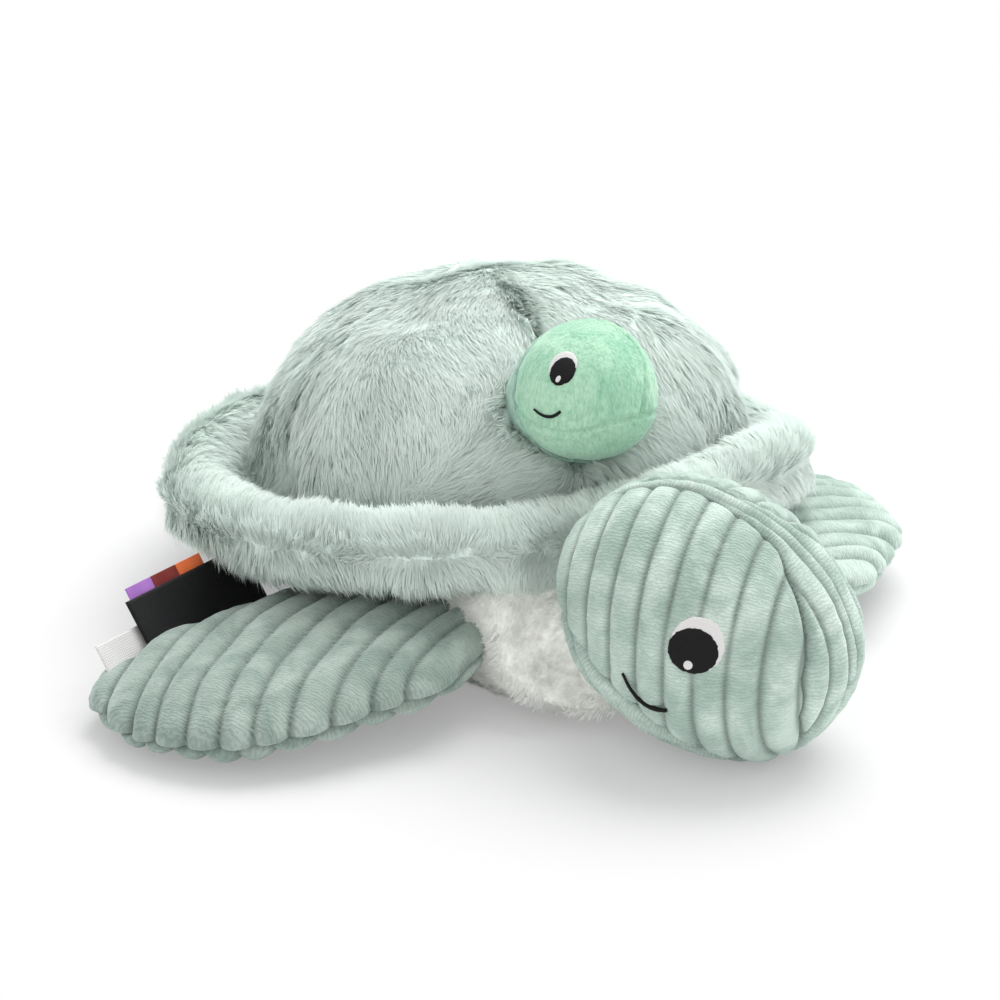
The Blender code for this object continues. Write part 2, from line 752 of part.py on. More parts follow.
def mother_look():
    """Where the mother's face is stitched."""
    return {
        "pose": head_pose(),
        "shape": head_shape,
        "half_sizes": (HEAD_WIDTH / 2, HEAD_LENGTH / 2, HEAD_HEIGHT / 2),
        "eye": EYE_DIRECTION,
        "ovals": (
            (EYE_WIDTH, EYE_HEIGHT, 0),
            (PUPIL_WIDTH, PUPIL_HEIGHT, PUPIL_DROP),
            (GLINT_SIZE, GLINT_SIZE, GLINT_DROP),
        ),
        "smile": SMILE_DIRECTIONS,
        "thread": SMILE_THICKNESS,
    }


def baby_look():
    """Where the baby's face is stitched."""
    turned = Matrix.Rotation(BABY_NOSE_TURN, 4, "Z")
    return {
        "pose": Matrix.Translation(baby_pose().translation) @ turned,
        "shape": baby_head_shape,
        "half_sizes": (BABY_HEAD_DIAMETER / 2,) * 3,
        "eye": BABY_EYE_DIRECTION,
        "ovals": (
            (BABY_EYE_WIDTH, BABY_EYE_HEIGHT, 0),
            (BABY_PUPIL_WIDTH, BABY_PUPIL_HEIGHT, BABY_PUPIL_DROP),
            (BABY_GLINT_SIZE, BABY_GLINT_SIZE, BABY_GLINT_DROP),
        ),
        "smile": BABY_SMILE_DIRECTIONS,
        "thread": BABY_SMILE_THICKNESS,
    }


# The flippers

def make_flippers(group, velour, stuffing):
    """Each flipper's cover, open at the seam that it swings on, and its stuffing."""
    for name, shape_less, place, side, sweep, droop in flipper_places():
        pose = flipper_pose(place, side, sweep, droop)
        pivot = pivot_at(f"{name}_pivot", pose.translation, group)
        cover = form(shape_less(0), LIMB_SEGMENTS, LIMB_RINGS)
        reach = max(vertex.co.x for vertex in cover.data.vertices)
        open_up(cover, lambda centre: centre.x < FLIPPER_OPEN_SHARE * reach)
        add_wall(cover, VELOUR_CLOTH)
        settle(cover, f"{name}_cover", group, pose, pivot, velour)
        filling = form(shape_less(VELOUR_CLOTH + STUFFING_PLAY), LIMB_SEGMENTS, LIMB_RINGS)
        settle(filling, f"{name}_stuffing", group, pose, pivot, stuffing)


# The baby turtle

def baby_head_shape(inset=0):
    return egg_shape(BABY_HEAD_DIAMETER, BABY_HEAD_DIAMETER, BABY_HEAD_DIAMETER, 2, inset)


def make_baby(group, guide_group, mint, stuffing):
    """The baby: a ball of a head, a slim body behind it in the pocket and four folded flippers."""
    pivot = pivot_at("baby_slide_pivot", baby_pose().translation, group)
    head = form(baby_head_shape(), FORM_SEGMENTS, FORM_RINGS)
    open_up(head, lambda centre: centre.y > BABY_HEAD_DIAMETER / 2 * BABY_NECK_SHARE)
    add_wall(head, BABY_CLOTH)
    settle(head, "baby_head_cover", group, baby_pose(), pivot, mint)
    filling = form(baby_head_shape(BABY_CLOTH + STUFFING_PLAY), LIMB_SEGMENTS, LIMB_RINGS)
    settle(filling, "baby_head_stuffing", group, baby_pose(), pivot, stuffing)
    head_room = as_cutter(form(baby_head_shape(-GAP), FORM_SEGMENTS, FORM_RINGS),
                          "baby_head_fit_room", guide_group, baby_pose())

    body_shape = egg_shape(BABY_BODY_LENGTH, BABY_BODY_WIDTH, BABY_BODY_HEIGHT, 2)
    body_pose = baby_pose() @ Matrix.Translation((0, BABY_BODY_BEHIND, -BABY_BODY_BELOW))
    body = settle(form(body_shape, LIMB_SEGMENTS, LIMB_RINGS), "baby_body", group, body_pose, pivot, mint)
    boolean(body, "DIFFERENCE", head_room)
    room_shape = egg_shape(BABY_BODY_LENGTH, BABY_BODY_WIDTH, BABY_BODY_HEIGHT, 2, -GAP)
    body_room = form(room_shape, LIMB_SEGMENTS, LIMB_RINGS)
    as_cutter(body_room, "baby_body_room", guide_group, body_pose)
    for end, behind in (("front", BABY_FRONT_FLIPPER_BEHIND), ("rear", BABY_REAR_FLIPPER_BEHIND)):
        for side_name, side in (("left", 1), ("right", -1)):
            shape = egg_shape(BABY_FLIPPER_LENGTH, BABY_FLIPPER_BREADTH, BABY_FLIPPER_THICKNESS, 2)
            place = Vector((side * BABY_FLIPPER_ASIDE, behind, -BABY_BODY_BELOW))
            flipper = form(shape, SMALL_SEGMENTS, SMALL_RINGS)
            pose = baby_pose() @ Matrix.Translation(place)
            settle(flipper, f"baby_{end}_{side_name}_flipper", group, pose, pivot, mint)
            boolean(flipper, "DIFFERENCE", body_room)


# The labels

def make_label(name, length, width, place, group, pivot, finish):
    """A flat woven label or tab, placed in the labels' own plane."""
    bpy.ops.mesh.primitive_cube_add(size=1)
    obj = bpy.context.object
    for vertex in obj.data.vertices:
        unit = vertex.co
        vertex.co = Vector((unit.x * length, unit.y * width, unit.z * LABEL_THICKNESS)) + place
    pose = (Matrix.Translation((-LABEL_ASIDE, -LABEL_AHEAD, LABEL_HEIGHT))
            @ Matrix.Rotation(math.pi + LABEL_HEADING, 4, "Z")
            @ Matrix.Rotation(-LABEL_LEAN, 4, "X"))
    return settle(obj, name, group, pose, pivot, finish)


def make_labels(group, finishes):
    """The bare black label, the white one behind its end and the ribbon tabs along its upper edge."""
    pivot = bpy.data.objects["front_right_flipper_pivot"]
    behind = -LABEL_THICKNESS - GAP
    make_label("woven_label", LABEL_LENGTH, LABEL_WIDTH, ORIGIN, group, pivot, finishes["black_label"])
    care_place = Vector(((LABEL_LENGTH + CARE_LABEL_LENGTH) / 2 - CARE_LABEL_TUCK,
                         (LABEL_WIDTH - CARE_LABEL_WIDTH) / 2, behind))
    make_label("care_label", CARE_LABEL_LENGTH, CARE_LABEL_WIDTH, care_place, group, pivot,
               finishes["white_label"])
    for step, name in enumerate(("purple", "red", "orange")):
        along = LABEL_LENGTH / 2 - CARE_LABEL_TUCK - GAP - (step + 1 / 2) * (RIBBON_LENGTH + GAP)
        place = Vector((along, -LABEL_WIDTH / 2, behind))
        make_label(f"ribbon_tab_{name}", RIBBON_LENGTH, RIBBON_HEIGHT, place, group, pivot, finishes[name])


def make_finishes():
    """The cloths of the turtle, by name."""
    colours = {
        "fur": ((0.42, 0.52, 0.48), 0.95),
        "velour": ((0.31, 0.42, 0.38), 0.9),
        "cream_fur": ((0.86, 0.84, 0.78), 0.95),
        "lining": ((0.36, 0.46, 0.42), 0.95),
        "mint": ((0.22, 0.60, 0.40), 0.9),
        "stuffing": ((0.88, 0.88, 0.86), 1.0),
        "white_thread": ((0.85, 0.85, 0.83), 0.6),
        "black_thread": ((0.01, 0.01, 0.011), 0.5),
        "black_label": ((0.012, 0.012, 0.013), 0.6),
        "white_label": ((0.86, 0.87, 0.88), 0.6),
        "orange": ((0.78, 0.16, 0.04), 0.6),
        "red": ((0.20, 0.02, 0.02), 0.6),
        "purple": ((0.36, 0.15, 0.52), 0.6),
    }
    return {name: cloth(name, colour, roughness) for name, (colour, roughness) in colours.items()}


def main():
    """Empties the scene and makes the turtle."""
    for old in list(bpy.data.objects):
        bpy.data.objects.remove(old)
    parts = new_group("plush_turtle")
    guide_group = new_group("guides")
    finishes = make_finishes()
    guides = make_guides(guide_group)
    make_shell(parts, guides, finishes["fur"], finishes["stuffing"])
    make_belly(parts, guides, finishes["cream_fur"], finishes["stuffing"])
    make_pocket(parts, guides, finishes["lining"])
    nodding = make_head(parts, guides, finishes["velour"], finishes["stuffing"])
    threads = finishes["white_thread"], finishes["black_thread"]
    make_face("", mother_look(), parts, guide_group, nodding, *threads)
    make_flippers(parts, finishes["velour"], finishes["stuffing"])
    make_baby(parts, guide_group, finishes["mint"], finishes["stuffing"])
    baby_pivot = bpy.data.objects["baby_slide_pivot"]
    make_face("baby_", baby_look(), parts, guide_group, baby_pivot, *threads)
    make_labels(parts, finishes)


main()
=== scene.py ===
"""Dresses the plush turtle: fur shell and rim, ribbed velour head and flippers, and the baby in its pocket.

Everything is in metres in the turtle's own frame: the floor is at 0, the mother looks towards -Y.
"""

import math

import bpy
import numpy as np
from bpy.props import FloatProperty, FloatVectorProperty, PointerProperty
from mathutils import Matrix, Vector


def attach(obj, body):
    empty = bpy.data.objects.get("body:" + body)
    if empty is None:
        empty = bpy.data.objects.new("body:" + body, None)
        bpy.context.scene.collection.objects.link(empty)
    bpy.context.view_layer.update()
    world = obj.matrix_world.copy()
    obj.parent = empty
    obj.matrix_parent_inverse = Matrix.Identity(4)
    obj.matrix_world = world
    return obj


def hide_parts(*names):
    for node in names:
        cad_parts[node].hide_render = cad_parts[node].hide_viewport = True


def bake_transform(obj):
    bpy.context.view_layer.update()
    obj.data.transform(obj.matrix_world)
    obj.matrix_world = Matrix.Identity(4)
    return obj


bl_info = {
    "name": "Plush turtle",
    "version": (1, 0, 0),
    "blender": (4, 5, 0),
    "location": "View3D > Sidebar > Turtle",
    "description": "Makes the fur, velour, stitching and labels of a plush turtle with a baby in its shell",
    "category": "Object",
}

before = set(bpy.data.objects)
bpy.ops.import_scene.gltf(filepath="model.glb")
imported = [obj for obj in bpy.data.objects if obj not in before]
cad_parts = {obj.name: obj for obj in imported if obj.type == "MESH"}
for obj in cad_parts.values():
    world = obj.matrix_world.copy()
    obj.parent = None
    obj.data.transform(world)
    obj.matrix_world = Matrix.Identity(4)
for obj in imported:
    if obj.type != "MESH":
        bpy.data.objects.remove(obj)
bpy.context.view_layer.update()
TAU = 2 * math.pi
MM = 0.001

# The shell: its height and tilt, the dome and the padded rim round it
SHELL_HEIGHT = 0.042
SHELL_TILT = math.radians(7.5)
DOME_HALF = (0.086, 0.087)
DOME_RISE = 0.064
DOME_UNDER = 0.012
DOME_SQUARENESS = 2.3
TUFTS = ((0.22, 0.2), (0.6, 0.2), (0.83, 0.16), (0.42, -0.34), (0.36, 0.66))
TUFT_DEPTH = 0.0055
TUFT_REACH = 0.15
RIM_RADIUS = 0.0955
RIM_THICKNESS = 0.033
RIM_DROP = 0.0036

# The dome's cloth lies inside its fur, a little stretched and shifted, and slopes more gently to one side
DOME_INSET = 0.0042
DOME_STRETCH = (0.985, 1, 1.11)
DOME_SHIFT = (0.0022, -0.0008, 0)
DOME_SLOPE = 0.13
DOME_SLOPE_WAY = (-0.87, 0.5)

# The rim's seam runs below its middle; the rim is pushed up in two places, each with its heading, height
# and reach
RIM_INSET = 4.6 * MM
RIM_SEAM = math.radians(-6)
# Where the painted shade in the rim's seam is darkest.
RIM_SEAM_SHADOW = math.radians(-7)
RIM_RISES = ((math.radians(-54), 9.0 * MM, 0.55), (math.radians(110), 7.5 * MM, 0.7))

# The belly
BELLY_WIDTH = 0.124
BELLY_HEIGHT = 0.055
BELLY_FRONT = 0.139
BELLY_REAR = 0.086
BELLY_TAPER = 0.31
BELLY_NARROWER_ABOVE = 0.14
CHEST_DROOP = 0.006

# The mother's head and neck
HEAD_HALF = (0.0378, 0.047, 0.0378)
HEAD_PLACE = (0.0179, -0.1427, 0.041)
HEAD_TURNED = math.radians(43)
HEAD_NODDED = math.radians(28)
HEAD_SQUARENESS = 2.1
HEAD_INSET = 0.9 * MM
CHIN_SEAM_HEIGHT = -22.5 * MM

# The crown's panel between its two seams: its half width in mm by the angle forward from the top
GUSSET_ANGLES = (-75, -20, 13, 26, 44, 69, 88, 105, 120)
GUSSET_HALF_WIDTHS = (2.5, 4.5, 7.7, 11.9, 15.8, 20.5, 18.0, 9.0, 2.0)

# The wales on the head's sides: the way across them, how far apart they are and where the first one is
WALE_LEAN = (0.055, -0.898, 0.436)
WALE_PITCH = 0.00907
WALE_START = -0.000586

NECK_AHEAD = 0.118
NECK_HALF = (0.0148, 0.0225)
NECK_HEIGHT = 0.031
NOD_HEIGHT = 0.062

# Round the mother's eyes the ribs give way to calm cloth, at a share of their height
CALM_SHARE = 0.7
CALM_REACH = 13.5 * MM
CALM_FADE = 4.5 * MM

# Directions on both faces are in degrees: away from the nose, and up
EYE_DIRECTION = (78.8, 18.0)
SMILE_DIRECTIONS = ((101.0, -15.5), (94.0, -20.5), (86.5, -22.8), (80.5, -21.5), (75.5, -18.0))

# The baby and its pocket
BABY_RADIUS = 0.0217
BABY_PLACE = (0.0035, -0.079, 0.093)
POCKET_SLOPE = math.radians(20)
BABY_NOSE_TURN = math.radians(37)
POCKET_HALF = (0.0223, 0.0143)
POCKET_DEPTH = 0.083
POCKET_BELOW_HEAD = 0.003
SLIT_PLACE = (0, -0.052, 0.098)
SLIT_LEAN = math.radians(35)
SLIT_HALF = (0.010, 0.046, 0.016)
SLIT_SHOWN = 0.22
BABY_EYE_DIRECTION = (82.5, 35.0)
BABY_SMILE_DIRECTIONS = ((105.0, -3.0), (98.0, -5.5), (91.5, -6.0), (85.0, -4.0), (79.5, 0.4))

# The baby's seams in mm: one low round its head, its height by the way across, and one down its side
BABY_LOW_SEAM = ((-20, -14, -2, 6.4, 15), (-7, -3.2, -3, -5, -8))
BABY_SIDE_SEAM = ((-3, 4, 15), (-4, -1.5, 5))

# The baby's hidden body and fins
BABY_TORSO_HALF = (0.0140, 0.026, 0.0100)
BABY_TORSO_BEHIND = 0.042
BABY_FIN_HALF = (0.0045, 0.011, 0.0025)
BABY_FIN_ASIDE = 0.0155
BABY_FINS_BEHIND = (("front", 0.034), ("rear", 0.058))
BABY_BODY_LOW = -0.0068

# The labels' plane, the sizes of the labels and tabs, and where the tabs stand on the black label's edge
LABEL_PLACE = (-0.1190, -0.0430, 0.0228)
LABEL_HEADING = math.radians(36)
LABEL_LEAN = math.radians(58)
BLACK_LABEL = (0.058, 0.019)
WHITE_LABEL = (0.019, 0.013)
TAB = (0.0118, 0.0075)
TAB_START = 0.0147
TAB_STEP = 0.012
TAB_EDGE = -0.0095


# Placing

def pose_of(place, turn=0.0, nod=0.0):
    """A pose whose nose points along its own -Y: turned about +Z, then nodded down."""
    turning = Matrix.Rotation(turn, 4, "Z") @ Matrix.Rotation(nod, 4, "X")
    return np.array(Matrix.Translation(place) @ turning)


def placed(pose, points):
    """Points of a piece's own frame, in the turtle's frame."""
    return points @ pose[:3, :3].T + pose[:3, 3]


def unplaced(pose, points):
    """Points of the turtle's frame, in a piece's own frame."""
    return (points - pose[:3, 3]) @ pose[:3, :3]


SHELL_POSE = pose_of((0, 0, SHELL_HEIGHT), nod=-SHELL_TILT)
HEAD_POSE = pose_of(HEAD_PLACE, HEAD_TURNED, HEAD_NODDED)
POCKET_POSE = pose_of(BABY_PLACE, nod=-POCKET_SLOPE)
BABY_FACE_POSE = pose_of(BABY_PLACE, BABY_NOSE_TURN)
SLIT_POSE = pose_of(SLIT_PLACE, nod=SLIT_LEAN)


def head_swing_poses():
    """Where the head lies as it turns about the neck and lifts its chin."""
    upright = Vector((0, -NECK_AHEAD, NOD_HEIGHT))
    sideways = Vector((-math.cos(HEAD_TURNED), -math.sin(HEAD_TURNED), 0))
    poses = []
    for turn in (0, -21.5, -43, -64.5, -86):
        for nod in (0, 10, 20):
            lifting = Matrix.Rotation(math.radians(nod), 4, sideways)
            turning = Matrix.Rotation(math.radians(turn), 4, "Z")
            move = Matrix.Translation(upright) @ turning @ lifting @ Matrix.Translation(-upright)
            poses.append(np.array(move) @ HEAD_POSE)
    return poses


# Mesh helpers

def deselect():
    """Leaves nothing selected, so that an operator acts on what is picked next."""
    if bpy.context.object and bpy.context.object.mode != "OBJECT":
        bpy.ops.object.mode_set(mode="OBJECT")
    bpy.ops.object.select_all(action="DESELECT")


def pick(piece):
    """Selects one piece and makes it the active one."""
    deselect()
    piece.select_set(True)
    bpy.context.view_layer.objects.active = piece


def pick_faces(piece, chosen):
    """Opens one piece for editing with only the chosen faces selected."""
    pick(piece)
    bpy.context.tool_settings.mesh_select_mode = (False, False, True)
    piece.data.vertices.foreach_set("select", np.zeros(len(piece.data.vertices), bool))
    piece.data.edges.foreach_set("select", np.zeros(len(piece.data.edges), bool))
    piece.data.polygons.foreach_set("select", chosen)
    bpy.ops.object.mode_set(mode="EDIT")


def edit_all(piece):
    """Opens one piece for editing with all of it selected."""
    pick(piece)
    bpy.ops.object.mode_set(mode="EDIT")
    bpy.ops.mesh.select_all(action="SELECT")


def extend_border(way):
    """Draws the open border of the piece that is being edited out along a way, and ends the editing."""
    bpy.ops.mesh.select_all(action="DESELECT")
    bpy.ops.mesh.select_mode(type="EDGE")
    bpy.ops.mesh.select_non_manifold(extend=False, use_wire=False, use_boundary=True, use_multi_face=False,
                                     use_non_contiguous=False, use_verts=False)
    bpy.ops.mesh.extrude_edges_move(TRANSFORM_OT_translate={"value": way})
    bpy.ops.object.mode_set(mode="OBJECT")


def named(piece, name):
    """Gives a piece and its mesh the same name."""
    piece.name = name
    piece.data.name = name
    return piece


def rows_of(elements, field):
    """A vector of each vertex or face, as rows of three."""
    values = np.empty(len(elements) * 3, np.float32)
    elements.foreach_get(field, values)
    return values.reshape(-1, 3).astype(float)


def points_of(piece):
    """The piece's points."""
    return rows_of(piece.data.vertices, "co")


def normals_of(piece):
    """The smooth outward normals at the piece's points."""
    return rows_of(piece.data.vertices, "normal")


def move_points(piece, points):
    """Puts the piece's points elsewhere."""
    piece.data.vertices.foreach_set("co", np.ascontiguousarray(points, np.float32).ravel())
    piece.data.update()


def face_outward(piece):
    """Turns every face outward."""
    edit_all(piece)
    bpy.ops.mesh.normals_make_consistent(inside=False)
    bpy.ops.object.mode_set(mode="OBJECT")


def smooth(piece):
    """Shades the piece without facets."""
    pick(piece)
    bpy.ops.object.shade_smooth()


def soft_form(name, segments, rings, shape):
    """A closed soft form: a ball whose points the shape function moves."""
    deselect()
    bpy.ops.mesh.primitive_uv_sphere_add(segments=segments, ring_count=rings, radius=1)
    piece = named(bpy.context.object, name)
    move_points(piece, shape(points_of(piece)))
    face_outward(piece)
    smooth(piece)
    return piece


def push_out(piece, heights):
    """Moves each point out along its normal."""
    move_points(piece, points_of(piece) + normals_of(piece) * heights[:, None])


def thicken(piece, thickness, offset):
    """Gives thin cloth its thickness: an offset of 0 grows it to both sides."""
    wall = piece.modifiers.new("cloth", "SOLIDIFY")
    wall.thickness = thickness
    wall.offset = offset
    pick(piece)
    bpy.ops.object.modifier_apply(modifier=wall.name)


def wear(piece, material):
    """Gives the piece this one material."""
    piece.data.materials.clear()
    piece.data.materials.append(material)
    return piece


def write_attribute(piece, name, values):
    """Keeps a value at each point for the piece's material."""
    kind = "FLOAT" if values.ndim == 1 else "FLOAT_VECTOR"
    field = "value" if values.ndim == 1 else "vector"
    attribute = piece.data.attributes.new(name, kind, "POINT")
    attribute.data.foreach_set(field, np.ascontiguousarray(values, np.float32).ravel())


def unit(vectors):
    """The vectors, each made one long."""
    return vectors / np.maximum(np.linalg.norm(vectors, axis=-1, keepdims=True), 1e-12)


def ripple(points, size, seed):
    """Smooth unevenness, mostly between -1 and 1, with lumps of that size."""
    draw = np.random.default_rng(seed)
    ways = unit(draw.normal(size=(9, 3)))
    lengths = size * draw.uniform(0.8, 1.9, 9)
    starts = draw.uniform(0, TAU, 9)
    return np.sin((points @ ways.T) * (TAU / lengths) + starts).sum(1) / 3


def bump_at(distance, reach):
    """1 at a line or spot, falling off over its reach."""
    return np.exp(-((distance / reach) ** 2))


# Shapes in numbers

def rounded(along, squareness):
    """How wide a rounded form is at a share of its half length, as a share of its widest."""
    return np.maximum(0, 1 - np.abs(along) ** squareness) ** (1 / squareness)


def section(points, squareness):
    """The direction of each point round the pole axis, on a squared circle."""
    reach = np.maximum(np.hypot(points[:, 0], points[:, 1]), 1e-9)
    across, up = points[:, 0] / reach, points[:, 1] / reach
    size = (np.abs(across) ** squareness + np.abs(up) ** squareness) ** (1 / squareness)
    size = np.maximum(size, 1e-9)
    return across / size, up / size


def dome_points(points, inset):
    """A ball's points on the dome, in the shell's frame, dented at its tufts."""
    size = (np.abs(points) ** DOME_SQUARENESS).sum(1) ** (1 / DOME_SQUARENESS)
    ball = points / size[:, None]
    dip = np.zeros(len(ball))
    for across, along in TUFTS:
        for side in (-1, 1):
            off = np.hypot(ball[:, 0] - side * across, ball[:, 1] - along)
            dip += bump_at(off, TUFT_REACH)
    dent = TUFT_DEPTH * np.minimum(dip, 1) * np.maximum(ball[:, 2], 0)
    rise = np.where(ball[:, 2] > 0, DOME_RISE, DOME_UNDER) - inset - dent
    return np.stack([
        ball[:, 0] * (DOME_HALF[0] - inset),
        ball[:, 1] * (DOME_HALF[1] - inset),
        ball[:, 2] * rise,
    ], 1)


def belly_points(points, inset):
    """A ball's points on the belly, which narrows to the rear and droops at the chest."""
    across, up = section(points, 3.2)
    along = points[:, 2]
    reach = rounded(along, 2.6)
    taper = 1 + BELLY_TAPER * along
    droop = CHEST_DROOP * np.minimum(along, 0)
    half_length = (BELLY_FRONT + BELLY_REAR) / 2
    narrower = 1 - BELLY_NARROWER_ABOVE * np.clip(up, -0.2, 1)
    return np.stack([
        across * narrower * reach * (BELLY_WIDTH / 2 * taper - inset),
        (BELLY_REAR - BELLY_FRONT) / 2 + along * (half_length - inset),
        BELLY_HEIGHT / 2 + droop + up * reach * (BELLY_HEIGHT / 2 - inset),
    ], 1)


def egg_points(points, half, squareness, inset=0.0):
    """A ball's points on an egg along its own Y, with its nose at -Y."""
    across, up = section(points, 2)
    reach = rounded(points[:, 2], squareness)
    return np.stack([
        across * reach * (half[0] - inset),
        -points[:, 2] * (half[1] - inset),
        up * reach * (half[2] - inset),
    ], 1)


def depth_in_egg(points, pose, half, grow):
    """Below 1 inside an egg that is grown by a length."""
    own = unplaced(pose, points) / (np.array(half) + grow)
    return np.linalg.norm(own, axis=1)


def in_opening(points, grow):
    """Whether points lie in the shell's slit or in the way of the baby's head."""
    own = unplaced(POCKET_POSE, points)
    ball = np.linalg.norm(own, axis=1) < BABY_RADIUS + grow
    low = own[:, 2] + POCKET_BELOW_HEAD
    bar = (own[:, 0] / (POCKET_HALF[0] + grow)) ** 2 + (low / (POCKET_HALF[1] + grow)) ** 2 < 1
    bar &= own[:, 1] < BABY_RADIUS
    slit = unplaced(SLIT_POSE, points)
    reach = 1 - (slit[:, 1] / (SLIT_HALF[1] + grow)) ** 2
    lens = (np.abs(slit[:, 0]) < (SLIT_HALF[0] * SLIT_SHOWN + grow) * reach)
    lens &= np.abs(slit[:, 2]) < 2 * SLIT_HALF[2]
    return ball | bar | lens


def clear_of_head(points, centres, give):
    """Draws points up to 14 mm towards their centres until the swinging head clears them, but for a give."""
    poses = head_swing_poses()
    way = unit(centres - points)
    moved = points.copy()
    for _ in range(28):
        inside = np.zeros(len(points), bool)
        for pose in poses:
            inside |= depth_in_egg(moved, pose, HEAD_HALF, -give) < 1
        if not inside.any():
            break
        moved[inside] += way[inside] * 0.5 * MM
    return moved


# Finishes

# The right front flipper wears a darker copy of the same velour: painted shade.
PAINTED_FLIPPER_SHADE = 0.64


def new_finish(name, roughness, sheen=0.0, sheen_colour=(1, 1, 1)):
    """A material with its shader, ready for nodes."""
    material = bpy.data.materials.new(name)
    material.use_nodes = True
    shader = material.node_tree.nodes["Principled BSDF"]
    shader.inputs["Roughness"].default_value = roughness
    shader.inputs["Sheen Weight"].default_value = sheen
    shader.inputs["Sheen Tint"].default_value = (*sheen_colour, 1)
    shader.inputs["Sheen Roughness"].default_value = 0.45
    shader.inputs["Specular IOR Level"].default_value = 0.15
    return material, material.node_tree, shader


def add_node(tree, kind, values=(), **settings):
    """A node with its settings and the values of its sockets."""
    node = tree.nodes.new(kind)
    for name, value in settings.items():
        setattr(node, name, value)
    for socket, value in dict(values).items():
        node.inputs[socket].default_value = value
    return node


def object_coordinates(tree, scale=(1, 1, 1), turn=(0, 0, 0)):
    """Object coordinates, turned and scaled."""
    source = add_node(tree, "ShaderNodeTexCoord")
    mapping = add_node(tree, "ShaderNodeMapping", {"Scale": scale, "Rotation": turn})
    tree.links.new(source.outputs["Object"], mapping.inputs["Vector"])
    return mapping.outputs["Vector"]


def attribute_socket(tree, name, field):
    """A value kept at the piece's points, for its material."""
    return add_node(tree, "ShaderNodeAttribute", attribute_name=name).outputs[field]


def noise(tree, vector, scale, detail=3.0, distortion=0.0):
    """Cloudy noise."""
    node = add_node(tree, "ShaderNodeTexNoise", {"Scale": scale, "Detail": detail, "Distortion": distortion})
    tree.links.new(vector, node.inputs["Vector"])
    return node.outputs["Fac"]


def ramp(tree, factor, stops):
    """Colours along a factor."""
    node = add_node(tree, "ShaderNodeValToRGB")
    while len(node.color_ramp.elements) < len(stops):
        node.color_ramp.elements.new(0.5)
    for element, (place, colour) in zip(node.color_ramp.elements, stops):
        element.position = place
        element.color = (*colour, 1)
    tree.links.new(factor, node.inputs["Fac"])
    return node.outputs["Color"]


def blend_colours(tree, factor, first, second, way="MIX"):
    """One colour mixed with another; each may be a socket or a plain colour."""
    node = add_node(tree, "ShaderNodeMix", data_type="RGBA", blend_type=way)
    sockets = [socket for socket in node.inputs if socket.type == "RGBA"]
    for socket, colour in zip(sockets, (first, second)):
        if isinstance(colour, bpy.types.NodeSocket):
            tree.links.new(colour, socket)
        else:
            socket.default_value = (*colour, 1)
    if isinstance(factor, bpy.types.NodeSocket):
        tree.links.new(factor, node.inputs[0])
    else:
        node.inputs[0].default_value = factor
    return [socket for socket in node.outputs if socket.type == "RGBA"][0]


def arithmetic(tree, operation, first, second):
    """Two values combined; each may be a socket or a plain number."""
    node = add_node(tree, "ShaderNodeMath", operation=operation)
    for place, value in enumerate((first, second)):
        if isinstance(value, bpy.types.NodeSocket):
            tree.links.new(value, node.inputs[place])
        else:
            node.inputs[place].default_value = value
    return node.outputs[0]


def add_bump(tree, shader, height, strength, distance):
    """Relief from a height, chained after one already there."""
    node = add_node(tree, "ShaderNodeBump", {"Strength": strength, "Distance": distance})
    tree.links.new(height, node.inputs["Height"])
    link = shader.inputs["Normal"].links
    if link:
        tree.links.new(link[0].from_socket, node.inputs["Normal"])
    tree.links.new(node.outputs["Normal"], shader.inputs["Normal"])


def shade(colour, factor):
    """A colour made darker or lighter by a factor."""
    return tuple(min(channel * factor, 1) for channel in colour)


def fur_finish(name, tip, root):
    """Soft fur that lets some light through: painted shade at the roots and a painted highlight at the tips,
    each lock a little lighter or darker at random, and painted shade on hairs rooted in creases.
    """
    material, tree, shader = new_finish(name, 0.75, 0.25, (0.9, 1, 0.96))
    reach = attribute_socket(tree, "reach", "Fac")
    tone_and_shade = attribute_socket(tree, "tone_and_shade", "Fac")
    # Along each hair the colour runs from the root colour to a lighter tip: painted shade at the roots and a
    # painted highlight at the tips.
    along = ramp(tree, reach, ((0.0, root), (0.5, shade(tip, 0.94)), (1.0, shade(tip, 1.04))))
    patches = noise(tree, object_coordinates(tree), 45, 2)
    tinted = blend_colours(tree, patches, shade(tip, 0.93), shade(tip, 1.06))
    layered = blend_colours(tree, 0.35, along, tinted)
    # Low values darken hairs rooted in creases: painted shade; the upper half is each lock's random
    # lightness.
    tone_and_shade_colour = ramp(tree, tone_and_shade, ((0.0, (0.66, 0.70, 0.68)), (0.5, (0.91, 0.91, 0.91)), (1.0, (1, 1, 1))))
    colour = blend_colours(tree, 1.0, layered, tone_and_shade_colour, "MULTIPLY")
    tree.links.new(colour, shader.inputs["Base Color"])
    through = add_node(tree, "ShaderNodeBsdfTranslucent")
    tree.links.new(colour, through.inputs["Color"])
    mix = add_node(tree, "ShaderNodeMixShader", {"Fac": 0.3})
    tree.links.new(shader.outputs["BSDF"], mix.inputs[1])
    tree.links.new(through.outputs["BSDF"], mix.inputs[2])
    tree.links.new(mix.outputs["Shader"], tree.nodes["Material Output"].inputs["Surface"])
    return material


def fur_ground_finish(name, colour):
    """The knitted ground under the fur, broken by short pile."""
    material, tree, shader = new_finish(name, 0.95)
    place = object_coordinates(tree)
    mottled = noise(tree, place, 900, 4, 0.6)
    tree.links.new(ramp(tree, mottled, ((0.35, shade(colour, 0.9)), (0.65, colour))),
                   shader.inputs["Base Color"])
    add_bump(tree, shader, mottled, 0.8, 0.4 * MM)
    return material


